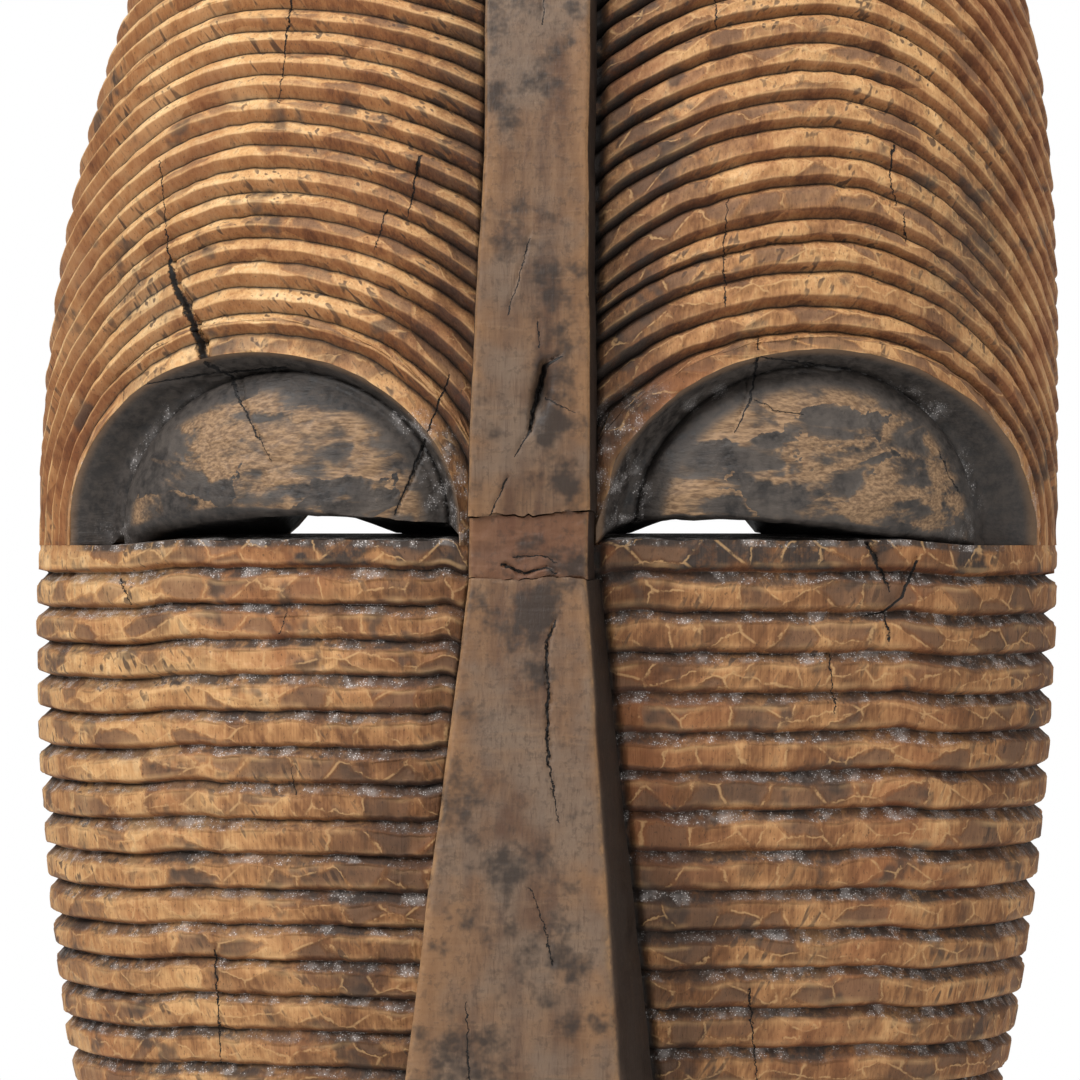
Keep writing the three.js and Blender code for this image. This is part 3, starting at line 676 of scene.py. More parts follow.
def cheek_relief(name, x, z, ridge, f, along, seed):
    """Height of the carved ridges and the numbers that the wood material reads."""
    places, heights = RIDGE["cheek"]
    profile = np.interp(f, places, heights) + 0 * x
    deep = CHEEK_DEPTH[0] + (CHEEK_DEPTH[1] - CHEEK_DEPTH[0]) * smooth(np.abs(x), 70, 148)
    relief = deep * (1 + 0.2 * layered(along / 30, ridge * 0.7, seed + 1))
    face = np.interp(f, [0, 0.28, 0.34, 0.8, 0.88, 1], [0, 0, 1, 1, 0, 0]) + 0 * x
    height = profile * relief
    height += face * 0.4 * value_noise(along / 6, ridge * 2.7 + f * 0.8, seed + 5)
    height -= 0.35 * bell(f, 0.84, 0.05) * smooth(layered(along / 4, ridge * 2.0, seed + 2), 0, 0.5)
    height -= 0.35 * bell(f, 0.3, 0.06) * smooth(layered(along / 5, ridge * 3.0, seed + 3), 0, 0.5)
    height += 0.14 * layered(along / 1.8, z / 3, seed + 4)
    height -= crack_depth(name, x, z)
    near_nose = 1 - smooth(np.abs(x), 30, 62)
    broad = smooth(layered(along / 26, ridge * 0.45, seed + 6), -0.35, 0.4)
    bevel = np.interp(f, [0, 0.02, 0.22, 0.31], [1, 1, 0.95, 0]) + np.interp(f, [0.97, 1], [0, 1])
    blot = smooth(layered(along / 9, ridge * 1.7 + f * 0.8, seed + 7), 0.2, 0.55)
    chalky = smooth(layered(along / 15, ridge * 1.3, seed + 10), -0.3, 0.3)
    line = 0.72 + 0.8 * layered(along / 15, ridge * 1.1, seed + 14)
    pale = 0.5 + 0.9 * layered(along / 9, ridge * 2, seed + 8)
    values = {
        # groove: painted shade along the groove floors.
        "groove": np.clip(1 - np.minimum(f * 0.9, (1 - f) * 1.5) / 0.06, 0, 1) * np.clip(line, 0.25, 1),
        # under: down-facing undercut of each ridge, darkened in the material as painted shade.
        "under": np.interp(f, [0.84, 0.88, 0.96, 1], [0, 1, 1, 0]),
        "edge": 0.95 * bell(f, 0.83, 0.035) * np.clip(pale, 0, 1)
                + 0.75 * bell(f, 0.335, 0.04) * np.clip(1 - pale, 0, 1),
        # Soot on the bevels and in blotches, plus painted shade under the ridges beside the nose.
        "soot_and_shade": np.clip(bevel * (0.62 + 0.38 * broad) + 0.45 * blot * face
                        + 0.55 * near_nose * (f > 0.8), 0, 1),
        "kaolin": np.clip(bevel * (0.45 + 0.55 * chalky), 0, 1),
        "tone_and_shade": tone_and_shade(x, z),
        "face": face,
        "along": along,
        "level": ridge + f,
    }
    return height, {key: np.broadcast_to(grid, x.shape).copy() for key, grid in values.items()}


def slit_part(hand, x):
    """1 along the slit of an eye and 0 beyond its ends, for distances from the centre line."""
    ends = LID[hand]["slit"][0]
    return smooth(x, ends[0], ends[0] + 5) * (1 - smooth(x, ends[-1] - 18, ends[-1] + 4))


def ring_legs(hand, x, z):
    """Outside the socket the ends of the brow's rings run down past the eye line."""
    grooves = np.array(BROW[hand]["grooves"])
    places, heights = RIDGE[hand]
    f = np.interp(ring_at(hand, x), grooves, np.arange(len(grooves)), left=0.5) % 1
    return 0.6 * np.interp(f, places, heights), smooth(x, 134, 136) * (1 - smooth(x, 148.6, 149.6))


def back_sill(x):
    """Height of the sill on the hollow side."""
    return SILL + BACK_SILL * smooth(np.abs(x), 10, 16) * (1 - smooth(np.abs(x), 98, 111))


def cheek(hand, columns=331):
    side = SIDE[hand]
    rule = CHEEKS[hand]
    fall, count = CHIN_TOP - rule["first"], rule["count"]
    levels = [rule["first"] + fall * k / (count - 1) for k in range(count)]
    pitch = levels[0] - levels[1]
    table = level_rows(levels)
    first = levels[0] - SILL
    above = [(SILL + first * part, -1, 0.34 + 0.66 * part) for part in np.linspace(0, 0.94, 13)]
    table = np.concatenate([np.array(above), table])
    z, ridge, f = table[:, :1], table[:, 1:2], table[:, 2:3]
    turns, length = even_turns(columns)
    along = np.broadcast_to(length[None, :], (len(table), columns))
    seed = 300 if side < 0 else 400
    hold = smooth(z, SILL, levels[0]) * smooth(z, CHIN_TOP, CHIN_TOP + 12)
    waver = 0.65 * layered(along / 60, z / 16, seed) + 0.18 * value_noise(along / 11, z / 9, seed + 11)
    z = z - (uneven(ridge, f, along, seed) - f) * pitch * hold + waver * hold
    skin = on_skin(OUTER, z, turns[None, :], side)
    skin[..., 0] = side * np.maximum(np.abs(skin[..., 0]), SEAM)
    x = skin[..., 0]
    height, values = cheek_relief("cheek_" + hand, x, z, ridge, f, along, seed)
    down = np.clip((NOSE["start"] - z) / (NOSE["start"] - NOSE["end"]), 0, 1)
    foot = NOSE["halfs"][0] + (NOSE["halfs"][1] - NOSE["halfs"][0]) * down
    if hand == "right":
        foot = foot + 2.6 + 3.3 * down
    # A gap beside the nose, sunk and also painted black as shade through the groove value.
    gap = 1 - smooth(np.abs(x) - foot, *((0.2, 1.6) if hand == "left" else (0.6, 3.0)))
    gap = gap * smooth(z, NOSE["end"] - 2.5, NOSE["end"] - 0.5)
    height = height - 1.8 * gap
    values["groove"] = np.maximum(values["groove"], gap)
    slit = slit_part(hand, np.abs(x))
    legs, on_legs = ring_legs(hand, np.abs(x), z)
    on_legs = on_legs * (z > levels[0] + 0.8)
    height = height * (1 - on_legs) + legs * on_legs
    for key in ("soot_and_shade", "edge", "kaolin"):
        values[key] = values[key] * (1 - on_legs)
    socket = smooth(np.abs(x), 18, 24) * (1 - smooth(np.abs(x), 126, 138))
    sill = np.clip((z - SILL + 2.3) / 1.0, 0, 1)
    height = height * (1 - 0.6 * bell(z, SILL, 0.6)) - 0.5 * sill
    char = socket * (z > levels[0] + 1) * smooth(layered(along / 13, z / 9, seed + 20), -0.1, 0.15)
    values["soot_and_shade"] = np.clip(values["soot_and_shade"] + char + sill * socket, 0, 1)
    values["kaolin"] = np.clip(values["kaolin"] + 0.8 * sill * socket, 0, 1)
    values["edge"] = values["edge"] * (1 - sill)
    front = skin + outward(skin) * height[..., None]
    raised = SILL_LIP * slit[:1] * (1 + 0.35 * layered(along[:1] / 6, along[:1] * 0, seed + 21))
    part = np.clip((SILL - table[:, :1]) / first, 0, 1)
    front[..., 2] += raised * (1 - part) ** 2
    front[:1, :, 2] = SILL + raised
    front[-1:, :, 2] = CHIN_TOP
    level = np.clip(table[:, :1] + 0 * x, CHIN_TOP, SILL)
    back = on_skin(INNER, level, turns[None, :], side)
    back[..., 0] = side * np.maximum(np.abs(back[..., 0]), SEAM)
    back = back - outward(back, INNER) * adze(back, 41)[..., None]
    back[..., 2] = level + (back_sill(back[..., 0]) - SILL) * smooth(level, SILL - 8, SILL)

    # The sill's upper side, painted black along the slit as shade.
    start = front[:1]
    wall = [start + (back[:1] - start) * share for share in (0.93, 0.6, 0.3, 0.06)]
    values = {key: repeated(grid, len(wall)) for key, grid in values.items()}
    values["groove"][: len(wall)] = slit[:1]
    values["face"][: len(wall)] = 0
    front = np.concatenate([*wall, front])
    back = repeated(back, len(wall))
    return shell("cheek_carved_" + hand, "cheek_" + hand, front, back, values, (6, 5), side > 0)


def chin(columns=229):
    pitch = (CHEEKS["left"]["first"] - CHIN_TOP) / (CHEEKS["left"]["count"] - 1)
    levels, z = [CHIN_TOP], CHIN_TOP
    while z > -CHIN + 0.6:
        ahead = max(-CHIN + 0.01, z - 0.5)
        fall = float(depth(OUTER, np.array(z)) - depth(OUTER, np.array(ahead)))
        z -= max(0.5, pitch * 0.5 / math.hypot(0.5, fall))
        levels.append(max(z, -CHIN + 0.5))
    last = [(-CHIN + 0.5 * 0.35 ** k, len(levels) - 1, 0) for k in range(1, 6)]
    table = np.concatenate([level_rows(levels), np.array(last)])
    z, ridge, f = table[:, :1], table[:, 1:2], table[:, 2:3]
    half, length = even_turns(columns)
    turns = np.concatenate([math.pi - half[::-1], half[1:]])
    along = np.concatenate([-length[::-1], length[1:]])[None, :] + 0 * z
    side = np.where(np.cos(turns) < 0, -1, 1)[None, :]
    waver = 0.8 * layered(along / 42 + 20, z / 16, 500) - (uneven(ridge, f, along + 300, 500) - f) * 6
    hold = waver * smooth(z, CHIN_TOP, CHIN_TOP - 14) * smooth(z, -CHIN, -CHIN + 25)
    z = np.clip(z + hold, -CHIN, CHIN_TOP)
    skin = on_skin(OUTER, z, turns[None, :], side)
    x = skin[..., 0]
    height, values = cheek_relief("chin_block", x, z, ridge, f, along, 500)
    height = height * smooth(z, -CHIN, -CHIN + 9)
    front = skin + outward(skin) * height[..., None]
    front[:1, :, 2] = CHIN_TOP
    low = CHIN_TOP + (table[:, :1] - CHIN_TOP) * (INNER["chin"] + CHIN_TOP) / (CHIN + CHIN_TOP) + 0 * x
    back = on_skin(INNER, np.maximum(low, -INNER["chin"] + 0.003), turns[None, :], side)
    back = back - outward(back, INNER) * adze(back, 41)[..., None]
    back[..., 2] = low
    return shell("chin_carved", "chin_block", front, back, values, (6, 6), True)


# ------------------------------------------------------------------ eyelids


def lid(hand, columns=241, rows=121):
    """Half-domed lid and the sloping wall round it, over the slit that sees through the block."""
    side = SIDE[hand]
    rule = LID[hand]
    turn = np.linspace(0.012, math.pi - 0.012, columns)
    arc_x, arc_z = ring_point(hand, ring_edge(hand, turn), turn)
    arc_z = np.maximum(arc_z, SILL + 0.05)
    ragged = 0.45 * layered(arc_x / 9, arc_x * 0, 210 + side)
    ragged = ragged + 0.25 * value_noise(arc_x / 2.5, arc_x * 0, 211)
    rim = np.minimum(np.maximum(np.interp(arc_x, *rule["rim"]) + ragged, SILL + 0.04), arc_z - 0.03)
    slit = np.maximum(np.interp(arc_x, *rule["slit"]) + 0.8 * ragged, SILL + 0.02)
    slit = np.maximum(slit, SILL + (SILL_LIP + 0.35) * slit_part(hand, arc_x) + 0.01)
    slit = np.minimum(slit, rim - 0.01)
    part = np.linspace(0, 1, rows)[:, None] ** 0.9
    x = side * np.broadcast_to(arc_x, (rows, columns))
    z = rim + (arc_z - rim) * part
    ring = BROW[hand]
    reach = np.where(np.abs(x) < ring["offset"], ring["inner"], ring["outer"])
    away = 1 - np.hypot((np.abs(x) - ring["offset"]) / reach, np.maximum(0, z) / ring["rise"])
    wall = 9.4 * smooth(away, -0.015, 0.12)
    dome = 1 - ((np.abs(x) - rule["centre"]) / rule["half"]) ** 2 - (np.maximum(z, 0) / rule["top"]) ** 2
    rise = 12.4 * np.clip(dome, 0, 1) ** 0.56 * (1 - 0.07 * (1 - smooth(z, 1, 9)))
    rise = rise * (1 + 0.05 * layered(x / 13, z / 9, 220 + side))
    if hand == "right":
        rise = rise * (1 - 0.5 * (1 - smooth(x, 30, 41)) * (1 - smooth(z, 12, 22)))
    height = rise - wall - 0.9 * bell(dome, 0.0, 0.04) * (away > 0.03)
    height += 0.5 * smooth(dome, 0, 0.3) * layered(x / 10, z / 4.5, 230 + side)
    height += 0.12 * layered(x / 3, z / 1.2, 240) - crack_depth("eyelid_" + hand, x, z)
    flat = np.stack([x, front_of(OUTER, x, z), z], -1)
    front = flat + outward(flat) * height[..., None]
    front[..., 0] = np.clip(front[..., 0] * side, arc_x.min(), arc_x.max()) * side
    front[0, :, 2] = rim

    inner = inner_points(x[:1], np.full((1, columns), SILL))[0, :, 0]
    near, far = rule["window"]
    opened = smooth(np.abs(inner), near - 3, near + 1) * (1 - smooth(np.abs(inner), far - 1, far + 5))
    torn = 1 + 0.16 * value_noise(arc_x / 4, arc_x * 0, 250)
    back_low = np.minimum(back_sill(inner) - 0.25 + 5.1 * opened * torn, arc_z - 0.03)
    back = inner_points(x, back_low + (arc_z - back_low) * part)
    back[0, :, 2] = back_low

    # Under the rim the wood turns in, then goes straight back to the hollow.
    under = []
    for share, drop, sink in ((0.94, 1, 0), (0.6, 1, 0), (0.25, 1, 0), (0, 1, 3.6), (0, 0.5, 1.1)):
        row = front[0] + (back[0] - front[0]) * share
        row[:, 1] = np.minimum(row[:, 1] + sink, back[0, :, 1] - 1)
        deep = np.interp(share, [0, 0.25, 1], [0, 0.1, 1])
        row[:, 2] = (rim + (slit - rim) * drop) * (1 - deep) + back_low * deep
        under.append(row)
    lead = len(under)
    front = np.concatenate([np.array(under), front])
    back = repeated(back, lead)
    ashes = smooth(layered(x / 12, z / 12, 260 + side), -0.25, 0.35)
    values = {
        "dome": smooth(dome, 0.04, 0.42),
        "rim": 1 - smooth(away, 0.0, 0.03),
        "kaolin": np.clip(bell(dome, -0.02, 0.13) * ashes * smooth(np.abs(turn - math.pi / 2), 0.2, 0.7)
                          + 0.8 * bell(np.abs(x), 26, 6) * bell(z, 8, 14)
                          + 0.5 * bell(np.abs(x), 124, 9) * bell(z, 0, 6), 0, 1),
        # groove: painted shade in the crease at the foot of the dome.
        "groove": np.clip(0.8 * bell(dome, 0, 0.025) * (away > 0.05), 0, 1),
    }
    values = {key: repeated(np.broadcast_to(grid, x.shape), lead) for key, grid in values.items()}
    # The rows under the rim are painted black as shade, the next row only a little.
    values["groove"][:3] = 1
    values["groove"][3] = 0.15
    values["dome"][:lead] = 0
    return shell("lid_carved_" + hand, "eyelid_" + hand, front, back, values, (6, 4), side < 0)


# ------------------------------------------------------------------ crest, bridge, nose and mouth


def tube(name, node, loops, values, flip=False):
    """Closed piece through loops of points, capped by drawing each end loop in to its middle."""
    rows, count = loops.shape[:2]
    points = [loops.reshape(-1, 3), loops[0].mean(0)[None], loops[-1].mean(0)[None]]
    faces, uv = [], []
    for i in range(rows - 1):
        for j in range(count):
            k = (j + 1) % count
            corners = [(i, j), (i, j + 1), (i + 1, j + 1), (i + 1, j)]
            faces.append([i * count + j, i * count + k, (i + 1) * count + k, (i + 1) * count + j])
            uv.append([(0.005 + 0.93 * b / count, 0.005 + 0.99 * a / (rows - 1)) for a, b in corners])
    middle = rows * count
    for end, row in ((0, 0), (1, rows - 1)):
        for j in range(count):
            k = (j + 1) % count
            ring = [row * count + j, row * count + k, middle + end]
            spot = lambda p: (0.97 + 0.018 * math.cos(2 * math.pi * p / count),
                              0.25 + 0.5 * end + 0.018 * math.sin(2 * math.pi * p / count))
            marks = [spot(j), spot(j + 1), (0.97, 0.25 + 0.5 * end)]
            if end == 0:
                ring, marks = ring[::-1], marks[::-1]
            faces.append(ring)
            uv.append(marks)
    if flip:
        faces, uv = [f[::-1] for f in faces], [m[::-1] for m in uv]
    spread = {}
    for key, grid in values.items():
        grid = np.broadcast_to(grid, (rows, count)).ravel()
        spread[key] = np.concatenate([grid, [grid[0], grid[-1]]])
    flat_uv = [spot for marks in uv for spot in marks]
    return placed(add_mesh(name, lean(np.concatenate(points)), faces, spread, flat_uv), node)


def band(name, origin, out, half, proud, sink, seed, draft=(0.06, 0.10), turn_in=0.0):
    """Bar with worn front edges along the centre line: `origin` and `out` give each row's frame."""
    edges = np.linspace(0.955, 1, 4)
    across = np.concatenate([-edges[::-1], np.linspace(-0.94, 0.94, 57), edges])
    up = np.linspace(0, 1, 11)[1:-1]
    lift = np.concatenate([up, np.ones(len(across)), up[::-1], np.zeros(9)])
    spot = np.concatenate([-np.ones(9), across, np.ones(9), np.linspace(1, -1, 11)[1:-1]])
    rows = len(origin)
    half, proud = np.broadcast_to(half, rows)[:, None], np.broadcast_to(proud, rows)[:, None]
    run = np.concatenate([[0], np.cumsum(np.linalg.norm(np.diff(origin, axis=0), axis=1))])[:, None]
    level = -sink + (proud + sink) * lift[None, :]
    waver = 0.35 * layered(run / 22, spot[None, :] * 0 + np.sign(spot)[None, :] * 3, seed)
    slope = np.where(spot < 0, draft[0], draft[1])[None, :] * (proud - level)
    x = spot[None, :] * (half + waver + slope - turn_in * (proud - proud[0]) * (spot > 0)[None, :])
    worn = np.clip((np.abs(spot[None, :]) - 0.93) / 0.07, 0, 1) * (lift[None, :] > 0.9)
    on_front = (lift[None, :] > 0.95) * 1.0
    z = origin[:, 2:3] + 0 * x
    chipped = smooth(layered(run / 3.5, spot[None, :] * 2 + 5, seed + 1), 0.05, 0.6)
    level = level - worn ** 2 * (0.9 + 0.9 * chipped)
    uneven_front = 0.28 * layered(x / 9, run / 26, seed + 2) + 0.06 * layered(x / 1.6, run / 14, seed + 3)
    level = level + on_front * uneven_front
    level = level - on_front * crack_depth(name, x, z)
    side_noise = (1 - on_front) * 0.25 * layered(level / 4, run / 9, seed + 4) * np.sign(spot)[None, :]
    points = origin[:, None, :] + out[:, None, :] * level[..., None]
    points[..., 0] += x + side_noise
    values = {
        "edge": np.clip(worn * (0.5 + 0.8 * chipped), 0, 1) + 0 * x,
        # The flanks, painted near-black as shade in the material.
        "flank_shade": np.clip((1 - lift[None, :]) / 0.13, 0, 1) + 0 * x,
        "side": np.abs(spot)[None, :] * on_front + 0 * x,
    }
    return points, values, x, z, on_front


def ragged_end(x):
    """Ragged line where the crest meets the bridge."""
    return 1.1 * layered(x / 5, 0 * x, 640) + 0.35 * value_noise(x / 1.3, 0 * x, 641) - 0.055 * x


def crest():
    """Flat band from the bridge over the forehead to the wall."""
    angle = np.linspace(math.asin(4 / TOP), math.pi / 2, 6000)
    line = np.stack([-OUTER["depth"] * np.cos(angle), TOP * np.sin(angle)], -1)
    length = np.concatenate([[0], np.cumsum(np.linalg.norm(np.diff(line, axis=0), axis=1))])
    rows = 361
    angle = np.interp(np.linspace(0, length[-1] - 0.1, rows), length, angle)
    origin = np.stack([0 * angle, -OUTER["depth"] * np.cos(angle), TOP * np.sin(angle)], -1)
    out = np.stack([0 * angle, -TOP * np.cos(angle), OUTER["depth"] * np.sin(angle)], -1)
    out /= np.linalg.norm(out, axis=1, keepdims=True)
    run = np.linspace(0, length[-1], rows)
    half = np.interp(run, *CREST_HALF)
    proud = 13 - 4 * (run / run[-1]) ** 2
    points, values, x, z, on_front = band("crest_band", origin, out, half, proud, 4, 600)
    near_end = 1 - smooth(run[:, None], 0, 14)
    points[..., 2] -= near_end * ragged_end(x)
    hole = bell(x, 3.0 - 0.15 * (40 - z), 2.2) * bell(z, 37, 7) * on_front
    points -= out[:, None, :] * (3.4 * hole)[..., None]
    # The pit is painted black as shade in the material.
    values["pit_shade"] = hole
    points[..., 1] = np.minimum(points[..., 1], -0.05)
    return tube("crest_carved", "crest_band", points, values)


def seam_waver(x):
    """Ragged line where the bridge meets the nose."""
    return 0.9 * layered(x / 6, 0 * x, 645) + 0.3 * value_noise(x / 1.4, 0 * x, 646)


def bridge():
    z = np.linspace(3.6, -13.3, 45)
    origin = np.stack([0 * z, -depth(OUTER, z), z], -1)
    out = np.tile([0.0, -1.0, 0.0], (len(z), 1))
    points, values, x, flat_z, on_front = band("bridge_patch", origin, out, 16.2, 12.0, 4, 650)
    points[..., 2] += seam_waver(x) * smooth(flat_z, -5, -13.3) - ragged_end(x) * smooth(flat_z, -5, 3.6)
    points[..., 1] -= on_front * 0.6 * layered(x / 4, flat_z / 3, 655)
    values["pit_shade"] = 0 * x
    return tube("bridge_carved", "bridge_patch", points, values, flip=True)


def nose():
    part = np.linspace(0, 1, 231)
    z = NOSE["start"] + (NOSE["end"] - NOSE["start"]) * part
    origin = np.stack([0 * z, -depth(OUTER, z), z], -1)
    out = np.tile([0.0, -1.0, 0.0], (len(z), 1))
    half = NOSE["halfs"][0] + (NOSE["halfs"][1] - NOSE["halfs"][0]) * part
    proud = NOSE["prouds"][0] + (NOSE["prouds"][1] - NOSE["prouds"][0]) * part
    points, values, x = band("nose_block", origin, out, half, proud, 5, 680, (0.0, 0.2), 0.1)[:3]
    values["pit_shade"] = 0 * x
    points[..., 2] += seam_waver(x) * (1 - smooth(part[:, None], 0, 0.07))
    # The lower end is rounded over and closed with a few shrinking loops.
    end = points[-1]
    middle = end.mean(0)
    loops = [points]
    for shrink, fall in ((0.985, 0.7), (0.955, 1.3), (0.9, 1.7), (0.7, 2.0), (0.4, 2.1), (0.15, 2.1)):
        ring = middle + (end - middle) * shrink
        ring[:, 2] = end[:, 2] - fall + 0.3 * layered(ring[:, 0] / 5, ring[:, 1] / 5, 690)
        loops.append(ring[None])
    for key in values:
        grid = np.broadcast_to(values[key], points.shape[:2])
        values[key] = np.concatenate([grid, np.repeat(grid[-1:], 6, axis=0)])
    return tube("nose_carved", "nose_block", np.concatenate(loops), values, flip=True)


def mouth():
    """Box-shaped mouth with a slot between two flat lips."""
    count = 240
    turn = np.linspace(0, 2 * math.pi, count, endpoint=False)

    def outline(half_x, half_z, power):
        c, s = np.cos(turn), np.sin(turn)
        size = (np.abs(c) ** power + np.abs(s) ** power) ** (-1 / power)
        return np.stack([half_x * c * size, half_z * s * size], -1)
    stations = [(42.0, 27.0, 14, y, 0.0) for y in np.linspace(-82, -129, 34)]
    stations += [(41.7, 26.7, 14, -131.5, 0.3), (40.6, 25.6, 12, -133.2, 1.0), (39.0, 24.2, 12, -134.0, 0.6)]
    for part in np.linspace(0.06, 1, 18):
        sag = 1.2 * math.sin(math.pi * part)
        stations.append((39 - 5.6 * part, 24.2 - 20.2 * part, 12 + 6 * part, -134.0 + sag, 0.2))
    stations += [(33.0, 3.4, 18, -133.2, 1.0), (32.8, 3.2, 18, -131.0, 0.6)]
    stations += [(32.6, 3.1, 18, y, 0.4) for y in (-129, -126.5, -124.5)] + [(30.0, 1.6, 8, -123.4, 0.2)]
    centre_z, loops, edges, pit_shades = -236.0, [], [], []
    for half_x, half_z, power, y, edge in stations:
        spot = outline(half_x, half_z, power)
        loop = np.stack([spot[:, 0], np.full(count, y), spot[:, 1] + centre_z], -1)
        wobble = 0.35 * layered(spot[:, 0] / 12 + y / 9, spot[:, 1] / 9, 700)
        loop[:, 1] += wobble
        loop[:, 0] += 0.3 * layered(loop[:, 1] / 7, loop[:, 2] / 7, 701)
        loops.append(loop)
        edges.append(np.full(count, edge))
        # The inside of the slot is painted black as shade in the material.
        pit_shades.append(np.full(count, 1.0 if y > -133 and half_z < 4 else 0.0))
    loops = np.array(loops)
    loops[0, :, 1] = -82
    values = {"edge": np.clip(np.array(edges), 0, 1), "pit_shade": np.array(pit_shades)}
    return tube("mouth_carved", "mouth_block", loops, values)


# ------------------------------------------------------------------ hanger let into the back


def applied(piece):
    """Keep what the piece's modifiers make of its mesh."""
    graph = bpy.context.evaluated_depsgraph_get()
    mesh = bpy.data.meshes.new_from_object(piece.evaluated_get(graph))
    piece.modifiers.clear()
    piece.data = mesh


def block(name, low, high):
    mesh = bpy.data.meshes.new(name)
    corners = [(x, y, z) for x in (low[0], high[0]) for y in (low[1], high[1]) for z in (low[2], high[2])]
    faces = [(0, 1, 3, 2), (4, 6, 7, 5), (0, 4, 5, 1), (2, 3, 7, 6), (0, 2, 6, 4), (1, 5, 7, 3)]
    mesh.from_pydata(corners, [], faces)
    island = [(0.01 + 0.004 * k, 0.9945 + 0.003 * m) for k in range(6) for m in (0, 1) for _ in (0, 1)]
    mesh.uv_layers.new(name="OFBake").data.foreach_set("uv", np.array(island, np.float32).ravel())
    piece = bpy.data.objects.new(name, mesh)
    bpy.context.scene.collection.objects.link(piece)
    return piece


def carve(piece, low, high):
    """Cut a box out of a piece."""
    cutter = block("cutter", low, high)
    cut = piece.modifiers.new("cut", "BOOLEAN")
    cut.object, cut.operation, cut.solver = cutter, "DIFFERENCE", "MANIFOLD"
    bpy.context.view_layer.update()
    whole = piece.data
    applied(piece)
    if len(piece.data.vertices) < 0.5 * len(whole.vertices):
        piece.data = whole
    bpy.data.objects.remove(cutter)


def hanger_part(name, node, body, levels, bevel=0.0, swell=1.0):
    """A smoother copy of a hanger part, in the same place."""
    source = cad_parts[node]
    piece = bpy.data.objects.new(name, source.data.copy())
    bpy.context.scene.collection.objects.link(piece)
    weld = piece.modifiers.new("weld", "WELD")
    weld.merge_threshold = 1e-6
    if bevel:
        edges = piece.modifiers.new("bevel", "BEVEL")
        edges.width, edges.segments, edges.angle_limit = bevel, 2, math.radians(35)
    if levels:
        piece.modifiers.new("round", "SUBSURF").levels = levels
        puff = piece.modifiers.new("puff", "DISPLACE")
        puff.strength, puff.mid_level = swell, 0.0
    bpy.context.view_layer.update()
    applied(piece)
    piece.data.shade_smooth()
    piece.data.set_sharp_from_angle(angle=math.radians(40))
    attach(piece, body)
    return placed(piece, node)


def hanger():
    low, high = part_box("hanger_plate")
    parts = [
        hanger_part("ring_wire", "hanger_ring", "hanger", 2, swell=0.00013),
        hanger_part("plate_bent", "hanger_plate", "mask", 0, bevel=0.00018),
    ]
    for hand in ("left", "right"):
        screw = hanger_part("screw_" + hand, "hanger_screw_" + hand, "mask", 0, bevel=0.00015)
        near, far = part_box("hanger_screw_" + hand)
        middle = (near + far) / 2
        slit = (0.0038, 0.0006, 0.00035)
        carve(screw, (middle.x - slit[0], far.y - slit[1], middle.z - slit[2]),
              (middle.x + slit[0], far.y + slit[1], middle.z + slit[2]))
        parts.append(screw)
    room = 0.001
    for hand in ("left", "right"):
        carve(pieces["forehead_carved_" + hand], (low.x - room, low.y - 0.0003, low.z - 6 * room),
              (high.x + room, 0.005, high.z + room))
    return parts


# ------------------------------------------------------------------ materials


class Value:
    """An output of a node; + - * / ** join it to another one, or to a number, by a maths node."""

    def __init__(self, nodes, socket):
        self.nodes, self.socket = nodes, socket

    def __add__(self, other):
        return self.nodes.maths("ADD", self, other)

    def __sub__(self, other):
        return self.nodes.maths("SUBTRACT", self, other)

    def __mul__(self, other):
        return self.nodes.maths("MULTIPLY", self, other)

    def __truediv__(self, other):
        return self.nodes.maths("DIVIDE", self, other)

    def __pow__(self, other):
        return self.nodes.maths("POWER", self, other)


